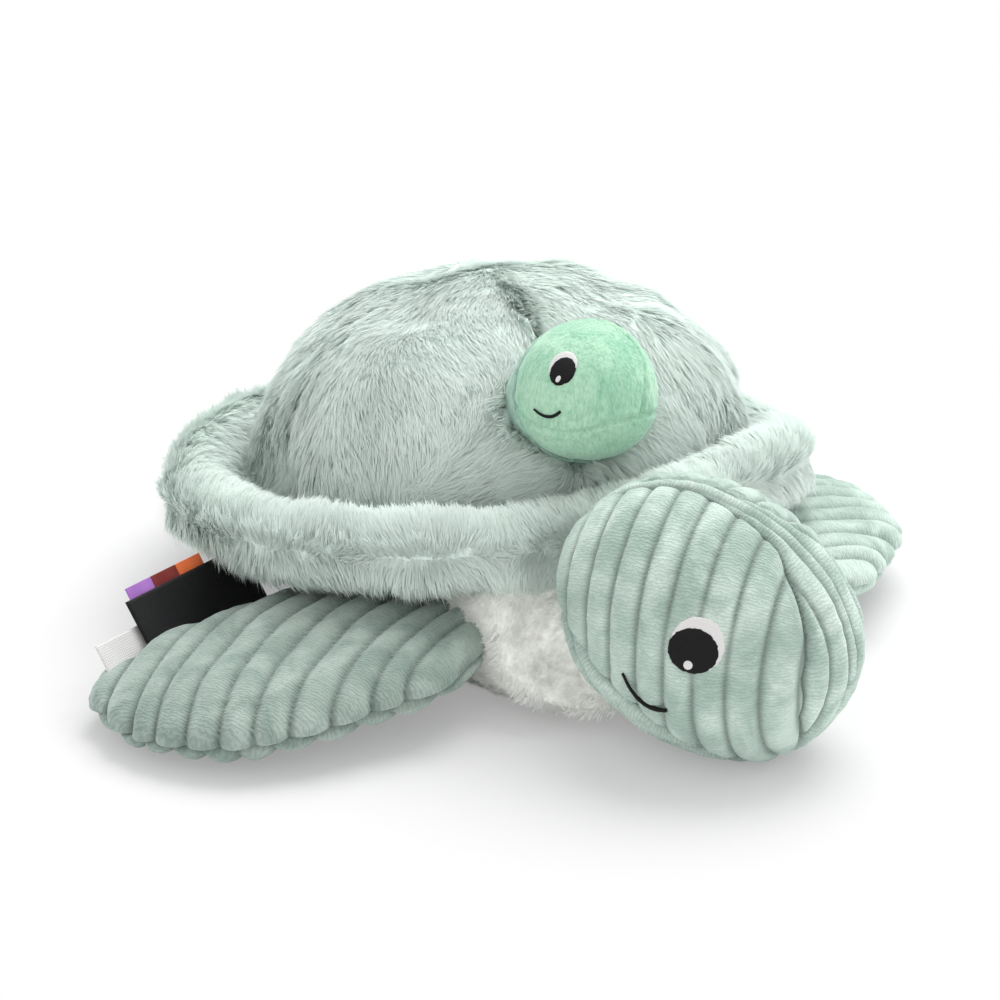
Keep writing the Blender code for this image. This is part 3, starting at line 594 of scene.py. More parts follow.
def velour_finish(name, light, dark):
    """Ribbed velour: nap brushed in patches, fine rows across the wales and soft painted shade in the
    grooves.
    """
    material, tree, shader = new_finish(name, 0.8, 0.45, (0.86, 1, 0.95))
    place = object_coordinates(tree)
    rows_place = attribute_socket(tree, "cloth", "Vector")
    patches = noise(tree, place, 50, 4, 1.3)
    nap = ramp(tree, patches, ((0.36, dark), (0.62, light)))
    wave = add_node(tree, "ShaderNodeTexWave",
                    {"Scale": 290, "Distortion": 7, "Detail": 3, "Detail Scale": 2.6}, bands_direction="Y")
    tree.links.new(rows_place, wave.inputs["Vector"])
    stretched = add_node(tree, "ShaderNodeMapping", {"Scale": (0.35, 1, 1)})
    tree.links.new(rows_place, stretched.inputs["Vector"])
    dashes = noise(tree, stretched.outputs["Vector"], 900, 3, 0.4)
    rows = blend_colours(tree, 0.6, wave.outputs["Fac"], dashes)
    grain = ramp(tree, rows, ((0.32, (0.80, 0.82, 0.81)), (0.66, (1, 1, 1))))
    # Where the crest is low, between the wales and at seams, the velour gets painted shade: a darker copy of
    # the dark nap.
    groove_shade_mask = attribute_socket(tree, "crest", "Fac")
    worn = blend_colours(tree, 1.0, nap, grain, "MULTIPLY")
    shadowed = blend_colours(tree, groove_shade_mask, shade(dark, 0.48), worn)
    tree.links.new(shadowed, shader.inputs["Base Color"])
    add_bump(tree, shader, rows, 0.8, 0.4 * MM)
    add_bump(tree, shader, noise(tree, place, 2200, 3), 0.5, 0.2 * MM)
    return material


def plush_finish(name, light, dark):
    """Short smooth pile with darker patches where the nap is brushed the other way."""
    material, tree, shader = new_finish(name, 0.8, 0.5, (0.85, 1, 0.92))
    place = object_coordinates(tree)
    patches = noise(tree, place, 70, 4, 1.0)
    grain = noise(tree, object_coordinates(tree, (1, 1, 0.4)), 1300, 4, 0.6)
    pile = noise(tree, object_coordinates(tree, (1, 1, 0.34)), 420, 4, 1.0)
    nap = ramp(tree, patches, ((0.36, dark), (0.60, light)))
    speckle = ramp(tree, blend_colours(tree, 0.35, grain, pile),
                   ((0.38, (0.70, 0.80, 0.75)), (0.57, (1, 1, 1))))
    tree.links.new(blend_colours(tree, 1.0, nap, speckle, "MULTIPLY"), shader.inputs["Base Color"])
    add_bump(tree, shader, grain, 1.0, 0.5 * MM)
    add_bump(tree, shader, pile, 0.9, 0.8 * MM)
    return material


def thread_finish(name, colour):
    """Satin stitch: threads side by side across the patch."""
    material, tree, shader = new_finish(name, 0.6)
    place = attribute_socket(tree, "cloth", "Vector")
    wave = add_node(tree, "ShaderNodeTexWave", {"Scale": 620, "Distortion": 2.5, "Detail": 2})
    tree.links.new(place, wave.inputs["Vector"])
    tree.links.new(ramp(tree, wave.outputs["Fac"], ((0, shade(colour, 0.84)), (0.7, colour))),
                   shader.inputs["Base Color"])
    add_bump(tree, shader, wave.outputs["Fac"], 0.7, 0.15 * MM)
    return material


def woven_finish(name, colour, roughness):
    """Tightly woven ribbon: crossing threads."""
    material, tree, shader = new_finish(name, roughness, 0.1)
    place = attribute_socket(tree, "cloth", "Vector")
    weave = []
    for direction in ("X", "Y"):
        wave = add_node(tree, "ShaderNodeTexWave", {"Scale": 420, "Distortion": 0.2},
                        bands_direction=direction)
        tree.links.new(place, wave.inputs["Vector"])
        weave.append(wave.outputs["Fac"])
    height = arithmetic(tree, "MAXIMUM", *weave)
    tree.links.new(ramp(tree, height, ((0.2, shade(colour, 0.75)), (0.9, colour))),
                   shader.inputs["Base Color"])
    add_bump(tree, shader, height, 0.5, 0.12 * MM)
    return material


FINISHES = {}


def finishes():
    """The turtle's finishes, made once from the panel's colours."""
    if not FINISHES:
        scene = bpy.context.scene
        fur, velour, baby, trim = scene.turtle_fur, scene.turtle_velour, scene.turtle_baby, scene.turtle_trim
        FINISHES.update({
            "fur": fur_finish("sage_fur", fur.tip, fur.root),
            "fur_ground": fur_ground_finish("sage_ground", fur.root),
            "cream": fur_finish("cream_fur", fur.cream_tip, fur.cream_root),
            "cream_ground": fur_ground_finish("cream_ground", fur.cream_root),
            "velour": velour_finish("sage_velour", velour.light, velour.dark),
            # A darker copy of the velour: painted shade for the right front flipper.
            "velour_painted_shade": velour_finish("sage_velour_painted_shade", shade(velour.light, PAINTED_FLIPPER_SHADE),
                                            shade(velour.dark, PAINTED_FLIPPER_SHADE)),
            "mint": plush_finish("mint_plush", baby.light, baby.dark),
            "lining": plush_finish("mint_lining", baby.lining, shade(baby.lining, 0.8)),
            "white_thread": thread_finish("white_thread", trim.white),
            "black_thread": thread_finish("black_thread", trim.black),
            "black_label": woven_finish("black_label_cloth", trim.black, 0.6),
            "white_label": woven_finish("white_label_satin", trim.white, 0.45),
            "orange": woven_finish("orange_ribbon", trim.orange, 0.6),
            "red": woven_finish("red_ribbon", trim.red, 0.6),
            "purple": woven_finish("purple_ribbon", trim.purple, 0.6),
        })
    return FINISHES


# Fur

DOME_LOCKS = 11000
RIM_LOCKS = 11500
BELLY_LOCKS = 3900


def ground_samples(piece, count, draw, keep):
    """Places spread evenly over a surface, with their normals, where keep says so."""
    mesh = piece.data
    mesh.calc_loop_triangles()
    corners = np.empty(len(mesh.loop_triangles) * 3, np.int32)
    mesh.loop_triangles.foreach_get("vertices", corners)
    corners = corners.reshape(-1, 3)
    points, normals = points_of(piece), normals_of(piece)
    first, second, third = (points[corners[:, corner]] for corner in range(3))
    area = np.linalg.norm(np.cross(second - first, third - first), axis=1)
    area = area * keep((first + second + third) / 3)
    picked = draw.choice(len(corners), count, p=area / area.sum())
    share = np.sqrt(draw.random(count))
    other = draw.random(count)
    weights = np.stack([1 - share, share * (1 - other), share * other], 1)[:, :, None]
    places = (points[corners[picked]] * weights).sum(1)
    facing = unit((normals[corners[picked]] * weights).sum(1))
    return places, facing


def lock_curves(places, facing, flow, look, draw):
    """Roots, middles and tips of the hairs of each lock, how light each hair is, and its outward way; the
    lightness is random from lock to lock and darkened by painted shade in creases.
    """
    locks, hairs = len(places), look["hairs"]
    lay = unit(flow - facing * (flow * facing).sum(1, keepdims=True))
    turn = draw.normal(0, look["stray"], locks)[:, None]
    side = np.cross(facing, lay)
    lay = unit(lay * np.cos(turn) + side * np.sin(turn))
    side = np.cross(facing, lay)
    length = look["length"] * (1 + 0.12 * ripple(places, 0.012, 5) + draw.normal(0, 0.06, locks))
    lift = look["lift"] + 0.08 * ripple(places, 0.017, 9) + draw.normal(0, 0.04, locks)
    lift = np.clip(lift * np.clip(1.45 - facing[:, 2], 0.4, 1), 0.1, 1.2)
    length = length * (1 - 0.2 * np.clip(facing[:, 2], 0, 1))
    rise = (np.sin(lift) * length)[:, None]
    run = (np.cos(lift) * length)[:, None]
    tip = places + lay * run + facing * rise * look["droop"]

    def each(values):
        return np.repeat(values, hairs, axis=0)

    total = locks * hairs
    angle, reach = draw.uniform(0, TAU, total), look["spread"] * np.sqrt(draw.random(total))
    shift = (each(lay) * np.cos(angle)[:, None] + each(side) * np.sin(angle)[:, None]) * reach[:, None]
    outward = each(facing)
    roots = each(places) + shift - outward * 0.4 * MM
    longer = (1 + draw.normal(0, 0.12, total))[:, None]
    tips = each(places) + shift * look["gather"] + (each(tip) - each(places)) * longer
    tips += draw.normal(0, 0.35 * MM, (total, 3))
    middles = roots + (tips - roots) * 0.42 + outward * (each(rise) * 0.40) * longer
    tone_and_shade = np.clip(each(0.5 + 0.33 * ripple(places, 0.02, 3)) + each(draw.normal(0, 0.14, locks))
                   + draw.normal(0, 0.12, total), 0, 1)
    # Hairs rooted in tufts, creases and seams are darkened here: painted shade.
    tone_and_shade = 0.5 + 0.5 * tone_and_shade - 0.5 * np.clip(look["creases"](roots), 0, 1)
    return roots, middles, tips, np.clip(tone_and_shade, 0, 1), outward


def hair_strips(roots, middles, tips, tone_and_shade, outward, width, draw):
    """Each hair as a thin strip that narrows to its tip: points, faces, reach, lightness with painted shade,
    and normals.
    """
    bend = 0.55
    steps, widths = (0.0, bend, 1.0), (1.0, 0.85, 0.0)
    hairs = len(roots)
    facing = unit(outward + draw.normal(0, 0.25, (hairs, 3)))
    rows = []
    for step, share in zip(steps, widths):
        centre = roots * (1 - step) ** 2 + middles * 2 * step * (1 - step) + tips * step ** 2
        along = unit((middles - roots) * (1 - step) + (tips - middles) * step)
        across = unit(np.cross(along, facing)) * width * share / 2
        rows.append(centre - across)
        if share:
            rows.append(centre + across)
    points = np.stack(rows, 1).reshape(-1, 3)
    per_hair = len(rows)
    start = (np.arange(hairs) * per_hair)[:, None]
    quads = start + np.array([[0, 1, 3, 2]])
    ends = start + np.array([[2, 3, 4]])
    reach = np.tile(np.array([0, 0, bend, bend, 1.0]), hairs)
    normals = np.repeat(unit(outward * 0.9 + facing * 0.2), per_hair, axis=0)
    return points, quads, ends, reach, np.repeat(tone_and_shade, per_hair), normals


def strips_piece(name, points, quads, ends, reach, tone_and_shade, normals):
    """The strips as one mesh."""
    mesh = bpy.data.meshes.new(name)
    loops = np.concatenate([quads.ravel(), ends.ravel()]).astype(np.int32)
    sizes = np.concatenate([np.full(len(quads), 4), np.full(len(ends), 3)])
    starts = np.concatenate([[0], np.cumsum(sizes)[:-1]]).astype(np.int32)
    mesh.vertices.add(len(points))
    mesh.vertices.foreach_set("co", points.astype(np.float32).ravel())
    mesh.loops.add(len(loops))
    mesh.loops.foreach_set("vertex_index", loops)
    mesh.polygons.add(len(sizes))
    mesh.polygons.foreach_set("loop_start", starts)
    mesh.update(calc_edges=True)
    piece = bpy.data.objects.new(name, mesh)
    bpy.context.scene.collection.objects.link(piece)
    write_attribute(piece, "reach", reach)
    write_attribute(piece, "tone_and_shade", tone_and_shade)
    mesh.polygons.foreach_set("use_smooth", np.ones(len(sizes), bool))
    mesh.normals_split_custom_set_from_vertices(normals.astype(np.float32))
    return piece


def grow_fur(name, ground, look, material, body, seed):
    """Covers a ground with locks of fur, in as many pieces as the look says, split by their heading."""
    draw = np.random.default_rng(seed)
    places, facing = ground_samples(ground, look["locks"], draw, look["keep"])
    flow = look["flow"](places, facing)
    roots, middles, tips, tone_and_shade, outward = lock_curves(places, facing, flow, look, draw)
    for spots, lowest in ((roots, 0.3 * MM), (tips, 0.5 * MM), (middles, 0.8 * MM)):
        spots[:, 2] = np.maximum(spots[:, 2], lowest)
    free = look["free"](middles) & look["free"](tips) & look["free"]((middles + tips) / 2)
    sector = np.floor((np.arctan2(roots[:, 1], roots[:, 0]) / TAU + 0.5) * look["pieces"]).astype(int)
    made = []
    for place in range(look["pieces"]):
        mine = free & (sector % look["pieces"] == place)
        if mine.any():
            strips = hair_strips(roots[mine], middles[mine], tips[mine], tone_and_shade[mine], outward[mine],
                                 look["width"], draw)
            piece = wear(strips_piece(f"{name}_{place + 1}", *strips), material)
            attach(piece, body)
            made.append(piece)
    return made


def clear_of_neighbours(points):
    """Whether fur at these points is outside the mother's head and the baby's."""
    free = depth_in_egg(points, HEAD_POSE, HEAD_HALF, 0.9 * MM) > 1
    return free & (np.linalg.norm(points - np.array(BABY_PLACE), axis=1) > BABY_RADIUS + 0.6 * MM)


def fur_look(locks, pieces, flow, keep, **changes):
    """How fur lies: how long, how lifted, how gathered into locks, and where it grows."""
    fur = bpy.context.scene.turtle_fur
    # The look's last entry paints shade on hairs rooted in creases; by default there is none.
    look = {
        "locks": int(locks * fur.thickness), "pieces": pieces, "flow": flow, "keep": keep,
        "free": clear_of_neighbours, "hairs": 17, "length": fur.length, "lift": 0.36, "droop": 0.75,
        "spread": 2.6 * MM, "gather": 0.88, "stray": 0.12, "width": 0.30 * MM,
        "creases": lambda points: np.zeros(len(points)),
    }
    look.update(changes)
    return look


# The shell's dome

def tuft_places():
    """Where the dome is tacked down, seen from above in the shell's frame."""
    return [np.array([side * across * DOME_HALF[0], along * DOME_HALF[1]])
            for across, along in TUFTS for side in (-1, 1)]


def dome_flow(places, facing):
    """Fur runs down and out from the crown, away from the tufts and from the slit."""
    own = unplaced(SHELL_POSE, places)
    crown_behind = 0.020
    flow = unit(own * np.array([1, 1, 0]) + np.array([0, -crown_behind, 0]))
    for tuft in tuft_places():
        away = own[:, :2] - tuft
        near = bump_at(np.linalg.norm(away, axis=1), 0.010)
        flow[:, :2] += near[:, None] * unit(away) * 0.15
    slit = unplaced(SLIT_POSE, places)
    near = bump_at(np.abs(slit[:, 0]), 0.014) * (np.abs(slit[:, 1]) < 0.055)
    flow[:, 0] += np.tanh(slit[:, 0] / 0.006) * near * 0.5
    swirl = 0.28 * ripple(places, 0.05, 21)
    turned = flow.copy()
    turned[:, 0] = flow[:, 0] * np.cos(swirl) - flow[:, 1] * np.sin(swirl)
    turned[:, 1] = flow[:, 0] * np.sin(swirl) + flow[:, 1] * np.cos(swirl)
    return unit(turned) @ SHELL_POSE[:3, :3].T


def dome_creases(points):
    """How much painted shade darkens the fur in the tufts, by the slit and in the crease at the rim, from 0
    to 1.
    """
    own = unplaced(SHELL_POSE, points)
    dark = 0.8 * bump_at(np.maximum(own[:, 2], 0), 0.011)
    for tuft in tuft_places():
        off = (own[:, :2] - tuft) / [2.2 * MM, 5.5 * MM]
        dark += 0.9 * bump_at(np.linalg.norm(off, axis=1), 1.0)
    slit = unplaced(SLIT_POSE, points)
    inside = (np.abs(slit[:, 1]) < 1.1 * SLIT_HALF[1]) & (own[:, 2] > 0)
    return dark + 0.9 * bump_at(slit[:, 0], 3.5 * MM) * inside


def make_dome():
    """The dome under the fur, open at the slit, with its cloth folded in as lips."""
    def shape(points):
        own = dome_points(points, DOME_INSET) * DOME_STRETCH + DOME_SHIFT
        sunk = np.clip(unit(own[:, :2]) @ DOME_SLOPE_WAY, 0, 1) ** 2
        own[:, :2] *= 1 - DOME_SLOPE * (sunk * np.sqrt(np.clip(own[:, 2] / DOME_RISE, 0, 1)))[:, None]
        return placed(SHELL_POSE, own)

    ground = soft_form("shell_dome", 160, 96, shape)
    push_out(ground, 0.9 * MM * ripple(points_of(ground), 0.028, 2))
    centres = rows_of(ground.data.polygons, "center")
    pick_faces(ground, in_opening(centres, 0.3 * MM) & (centres[:, 2] > 0.05))
    bpy.ops.mesh.delete(type="FACE")
    extend_border((0, 0.005, -0.009))
    smooth(ground)
    return wear(ground, finishes()["fur_ground"])


class TURTLE_OT_shell(bpy.types.Operator):
    """Make the fur dome of the shell with its slit"""
    bl_idname = "turtle.shell"
    bl_label = "Shell dome"

    def execute(self, context):
        ground = make_dome()
        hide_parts("shell_cover", "body_stuffing")
        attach(ground, "body")

        def keep(centres):
            own = unplaced(SHELL_POSE, centres)
            return (own[:, 2] > -0.002) & ~in_opening(centres, 0.0)

        look = fur_look(DOME_LOCKS, 4, dome_flow, keep, creases=dome_creases)
        for piece in grow_fur("shell_fur", ground, look, finishes()["fur"], "body", 11):
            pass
        return {"FINISHED"}


# The rim

def rim_rise(way):
    """How far the rim is pushed up over the neck and at the back."""
    heading = np.arctan2(way[:, 1], way[:, 0])
    rise = np.zeros(len(way))
    for place, height, reach in RIM_RISES:
        turn = heading - place
        rise += height * bump_at(np.arctan2(np.sin(turn), np.cos(turn)), reach)
    return rise


def rim_own(points):
    """Points in the rim's terms: distance out from the ring, height over it, and the way out."""
    own = unplaced(SHELL_POSE, points)
    reach = np.maximum(np.hypot(own[:, 0], own[:, 1]), 1e-9)
    way = own[:, :2] / reach[:, None]
    return reach - RIM_RADIUS, own[:, 2] + RIM_DROP - rim_rise(way), way


def rim_flow(places, facing):
    """Fur runs up over the rim above its seam and down below it."""
    out, high, way = rim_own(places)
    angle = np.arctan2(high, out)
    upward = np.tanh((angle - RIM_SEAM) * 6)
    sideways = 0.8 * ripple(places, 0.04, 31)
    radial = -np.sin(angle) * upward
    flow = np.stack([
        way[:, 0] * radial - way[:, 1] * sideways,
        way[:, 1] * radial + way[:, 0] * sideways,
        np.cos(angle) * upward,
    ], 1)
    return unit(flow) @ SHELL_POSE[:3, :3].T


def rim_creases(points):
    """How much painted shade darkens the fur in the seam round the rim, from 0 to 1."""
    out, high = rim_own(points)[:2]
    off_seam = np.arctan2(high, out) - RIM_SEAM_SHADOW
    return 0.5 * bump_at(off_seam, 0.12) * (1.2 + ripple(points, 0.02, 51))


def make_rim():
    """The padded rim under its fur, with the seam round its middle."""
    deselect()
    bpy.ops.mesh.primitive_torus_add(major_radius=RIM_RADIUS, minor_radius=RIM_THICKNESS / 2 - RIM_INSET,
                                     major_segments=220, minor_segments=40, location=(0, 0, -RIM_DROP))
    ground = named(bpy.context.object, "shell_rim")
    bpy.ops.object.transform_apply(location=True, rotation=False, scale=False)
    own = points_of(ground)
    own[:, 2] += rim_rise(unit(own[:, :2]))
    move_points(ground, placed(SHELL_POSE, own))
    out, high, way = rim_own(points_of(ground))
    angle = np.arctan2(high, out)
    seam_dip = 1.8 * MM * bump_at(angle + 0.1, 0.16)
    inner_dip = 2.0 * MM * bump_at(angle - math.radians(115), math.radians(50))
    push_out(ground, 0.8 * MM * ripple(points_of(ground), 0.03, 4) - seam_dip - inner_dip)
    ring = np.concatenate([way * RIM_RADIUS, rim_rise(way)[:, None]], 1)
    move_points(ground, clear_of_head(points_of(ground), placed(SHELL_POSE, ring), 5.5 * MM))
    smooth(ground)
    return wear(ground, finishes()["fur_ground"])


class TURTLE_OT_rim(bpy.types.Operator):
    """Make the padded fur rim of the shell"""
    bl_idname = "turtle.rim"
    bl_label = "Shell rim"

    def execute(self, context):
        ground = make_rim()
        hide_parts("rim_cover", "rim_stuffing")
        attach(ground, "body")

        def keep(centres):
            out = rim_own(centres)[0]
            return (out > -0.009) & (unplaced(SHELL_POSE, centres)[:, 2] > -0.02)

        look = fur_look(RIM_LOCKS, 4, rim_flow, keep, length=7.2 * MM, lift=0.42, gather=0.95,
                        creases=rim_creases)
        for piece in grow_fur("rim_fur", ground, look, finishes()["fur"], "body", 12):
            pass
        return {"FINISHED"}


# The belly and the neck

def belly_flow(places, facing):
    """Fur hangs down and back."""
    swirl = ripple(places, 0.03, 41)
    flow = np.stack([0.5 * swirl, 0.3 + 0.4 * ripple(places, 0.03, 42), np.full(len(places), -0.4)], 1)
    return unit(flow + facing * [1, 1, 0] * 0.3)


def make_belly():
    """The belly and the chest under their fur, lying flat on the floor and clear of the head."""
    def shape(points):
        moved = belly_points(points, 2.6 * MM)
        moved += unit(moved - moved.mean(0)) * 0.8 * MM * ripple(moved, 0.03, 6)[:, None]
        centres = moved * np.array([0.2, 0.55, 0]) + np.array([0, 0, 0.026])
        moved = clear_of_head(moved, centres, 4.5 * MM)
        moved[:, 2] = np.maximum(moved[:, 2], 0.4 * MM)
        return moved

    ground = soft_form("belly", 128, 96, shape)
    return wear(ground, finishes()["cream_ground"])


class TURTLE_OT_belly(bpy.types.Operator):
    """Make the cream fur belly and chest, and the neck"""
    bl_idname = "turtle.belly"
    bl_label = "Belly and neck"

    def execute(self, context):
        ground = make_belly()
        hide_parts("belly_cover")
        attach(ground, "body")

        def keep(centres):
            out, high = rim_own(centres)[:2]
            under_rim = (out < 0.0) & (high > -0.012)
            return (centres[:, 2] > 2.5 * MM) & ~under_rim

        look = fur_look(BELLY_LOCKS, 1, belly_flow, keep, length=3.3 * MM, lift=0.42, stray=0.3,
                        gather=0.85, spread=3.4 * MM)
        for piece in grow_fur("belly_fur", ground, look, finishes()["cream"], "body", 13):
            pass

        def barrel(points):
            across, up = section(points, 2)
            reach = rounded(points[:, 2], 3.0) * NECK_HALF[0]
            high = NECK_HEIGHT + points[:, 2] * NECK_HALF[1]
            own = np.stack([across * reach, up * reach - NECK_AHEAD, high], 1)
            crease = 0.4 * MM * ripple(own, 0.008, 8)
            own[:, :2] += unit(own - [0, -NECK_AHEAD, NECK_HEIGHT])[:, :2] * crease[:, None]
            return own

        neck = wear(soft_form("neck", 48, 32, barrel), finishes()["cream_ground"])
        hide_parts("neck_stuffing")
        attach(neck, "neck")
        return {"FINISHED"}


# The pocket

def pocket_points(points):
    """A tube's points on the pocket, in its own frame: from its mouth by the baby to its closed end."""
    size = np.maximum(np.hypot(points[:, 0], points[:, 1]), 1e-9)
    across, up = points[:, 0] / size, points[:, 1] / size
    deep = (points[:, 2] + 1) / 2
    inward = 0.005 + deep * (POCKET_DEPTH - 0.011)
    ball = np.sqrt(np.maximum((BABY_RADIUS + 0.6 * MM) ** 2 - inward ** 2, 0))
    close = rounded(np.maximum(deep, 0), 9.0)
    wide = np.maximum(POCKET_HALF[0], ball) * close
    tall = np.maximum(POCKET_HALF[1], ball) * close
    fold = 1 + 0.03 * np.sin(9 * np.arctan2(up, across) + 9 * deep) * np.minimum(deep * 3, 1)
    drop = POCKET_BELOW_HEAD * np.clip(inward / BABY_RADIUS, 0, 1)
    return np.stack([across * wide * fold, inward, up * tall * fold - drop], 1)


class TURTLE_OT_pocket(bpy.types.Operator):
    """Make the pocket that holds the baby"""
    bl_idname = "turtle.pocket"
    bl_label = "Pocket"

    def execute(self, context):
        deselect()
        bpy.ops.mesh.primitive_cylinder_add(vertices=64, radius=1, depth=2, end_fill_type="NOTHING")
        pocket = named(bpy.context.object, "pocket")
        edit_all(pocket)
        bpy.ops.mesh.bisect(plane_co=(0, 0, 0), plane_no=(0, 0, 1))
        bpy.ops.mesh.select_all(action="SELECT")
        bpy.ops.mesh.subdivide(number_cuts=5)
        bpy.ops.object.mode_set(mode="OBJECT")
        move_points(pocket, placed(POCKET_POSE, pocket_points(points_of(pocket))))
        edit_all(pocket)
        bpy.ops.mesh.remove_doubles(threshold=0.05 * MM)
        bpy.ops.object.mode_set(mode="OBJECT")
        thicken(pocket, 1.0 * MM, 1)
        smooth(pocket)
        wear(pocket, finishes()["lining"])
        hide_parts("pocket_lining")
        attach(pocket, "body")
        return {"FINISHED"}


# Ribs

def wale_height(phase):
    """How high ribbed cloth stands at a phase: flat rounded wales with narrow grooves at whole numbers."""
    gap = np.abs(phase - np.round(phase)) * 2
    return 1 - (1 - gap) ** 2.5


def head_panels(own):
    """The seams of the head and the phase of the ribs on each panel, in the head's own frame."""
    turn = np.degrees(np.arctan2(-own[:, 1], own[:, 2]))
    edge = np.interp(turn, GUSSET_ANGLES, np.array(GUSSET_HALF_WIDTHS) * MM)
    aside = np.abs(own[:, 0])
    to_gusset = aside - edge
    to_chin = own[:, 2] - CHIN_SEAM_HEIGHT - 0.10 * (own[:, 1] + 0.02)
    mirrored = own.copy()
    mirrored[:, 0] = -aside
    side = (mirrored @ np.array(WALE_LEAN) - WALE_START) / WALE_PITCH
    crown = (aside - 2.5 * MM) / WALE_PITCH
    under = own[:, 0] / WALE_PITCH + 0.5
    on_crown = (to_gusset < 0) & (to_chin > 0) & (turn > -110)
    phase = np.where(to_chin < 0, under, np.where(on_crown, crown, side))
    gusset_seam = np.where((turn > -75) & (to_chin > -1 * MM), np.abs(to_gusset), 1)
    chin_seam = np.abs(to_chin)
    return phase, np.minimum(gusset_seam, chin_seam), to_chin < 0, on_crown


def face_distance(own, direction, half, side):
    """Distance of points from a spot of the face."""
    return np.linalg.norm(own - np.array(face_spot(direction, half, side)[0]), axis=1)


def face_spot(direction, half, side):
    """The point and the outward normal of an egg where a direction leaves it; side -1 is its right."""
    away, up = (math.radians(angle) for angle in direction)
    ray = Vector((side * math.sin(away) * math.cos(up), -math.cos(away) * math.cos(up), math.sin(up)))
    reach = 1 / math.sqrt(sum((ray[axis] / half[axis]) ** 2 for axis in range(3)))
    point = ray * reach
    normal = Vector([point[axis] / half[axis] ** 2 for axis in range(3)]).normalized()
    return point, normal


def head_relief(own, velour):
    """How far the cloth stands over the head's plain form, and its wale crests."""
    phase, seam, under, crown = head_panels(own)
    crest = wale_height(phase)
    near_seam = bump_at(seam, 2.2 * MM)
    height = velour.rib_depth * crest * (1 - 0.75 * bump_at(seam, 1.2 * MM))
    for side in (-1, 1):
        eye = face_distance(own, EYE_DIRECTION, HEAD_HALF, side)
        calm = np.clip((CALM_REACH - eye) / CALM_FADE, 0, 1)
        calm = calm * calm * (3 - 2 * calm)
        height = height * (1 - calm) + velour.rib_depth * CALM_SHARE * calm
    pucker = np.sin(phase * TAU + np.pi / 2) * near_seam * 0.35 * MM
    height = height - 1.3 * MM * bump_at(seam, 0.9 * MM) + pucker
    height += 0.45 * MM * ripple(own, 0.022, 51) + 0.09 * MM * ripple(own, 0.0035, 52)
    wales = np.array(WALE_LEAN)
    aside = np.cross(wales, (1, 0, 0))
    onward = np.cross(wales, aside)
    along = np.arctan2(own @ aside, own @ onward) * HEAD_HALF[0]
    along = np.where(crown, np.arctan2(-own[:, 1], own[:, 2]) * HEAD_HALF[0], along)
    return height, crest * (1 - bump_at(seam, 0.8 * MM)), phase, np.where(under, own[:, 1], along)


class TURTLE_OT_head(bpy.types.Operator):
    """Make the ribbed velour head"""
    bl_idname = "turtle.head"
    bl_label = "Head"

    def execute(self, context):
        velour = context.scene.turtle_velour
        head = soft_form("head", 300, 220,
                         lambda points: egg_points(points, HEAD_HALF, HEAD_SQUARENESS, HEAD_INSET))
        own = points_of(head)
        height, crest, phase, along = head_relief(own, velour)
        push_out(head, height)
        # The crest also tells the velour finish where to paint shade in the grooves and seams.
        write_attribute(head, "crest", np.clip(crest * 1.7, 0, 1))
        write_attribute(head, "cloth", np.stack([phase * WALE_PITCH, along, 0.2 * own[:, 2]], 1))
        resting = placed(HEAD_POSE, points_of(head))
        resting[:, 2] = np.maximum(resting[:, 2], 0.2 * MM)
        move_points(head, resting)
        wear(head, finishes()["velour"])
        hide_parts("head_cover", "head_stuffing")
        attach(head, "head")
        return {"FINISHED"}


# Faces

def lying_on_egg(flat, direction, half, side, rise):
    """Points of a flat patch pressed onto an egg at a spot of the face, at their rise over it."""
    spot, normal = face_spot(direction, half, side)
    across = Vector((0, 0, 1)).cross(normal).normalized()
    up = normal.cross(across)
    start = np.array(spot) + flat[:, :1] * np.array(across) + flat[:, 1:2] * np.array(up)
    way, half = np.array(normal), np.array(half)
    squared = ((way / half) ** 2).sum()
    linear = 2 * (start * way / half ** 2).sum(1)
    constant = (start ** 2 / half ** 2).sum(1) - 1
    root = (-linear + np.sqrt(np.maximum(linear * linear - 4 * squared * constant, 0))) / (2 * squared)
    foot = start + way * root[:, None]
    return foot + unit(foot / half ** 2) * rise[:, None]


def stitched_patch(name, size, off, look, side, lift, material):
    """A raised oval of satin stitch on a head."""
    deselect()
    bpy.ops.mesh.primitive_circle_add(vertices=56, radius=1, fill_type="NGON")
    piece = named(bpy.context.object, name)
    edit_all(piece)
    for share in (0.06, 0.10, 0.16, 0.2, 0.2):
        bpy.ops.mesh.inset(thickness=share)
    bpy.ops.mesh.poke()
    extend_border((0, 0, -1))
    flat = points_of(piece)
    reach = np.hypot(flat[:, 0], flat[:, 1])
    round_it = np.arctan2(flat[:, 1], flat[:, 0])
    ragged = 1 + (0.014 * np.sin(31 * round_it) + 0.012 * np.sin(13 * round_it + 1)) * (reach > 0.9)
    spread = flat[:, :2] * np.array(size) / 2 * ragged[:, None]
    tilt = -side * look["tilt"]
    turned = np.array([[math.cos(tilt), math.sin(tilt)], [-math.sin(tilt), math.cos(tilt)]])
    spread = spread @ turned + np.array([-side * off[1], -off[0]])
    crown = lift + 0.45 * MM * rounded(np.minimum(reach, 1), 4.0)
    rise = np.where(flat[:, 2] < -0.5, lift - 1.4 * MM, crown)
    write_attribute(piece, "cloth", np.stack([spread[:, 1], spread[:, 0], spread[:, 0] * 0], 1))
    move_points(piece, placed(look["pose"], lying_on_egg(spread, look["eye"], look["half"], side, rise)))
    face_outward(piece)
    smooth(piece)
    return wear(piece, material)


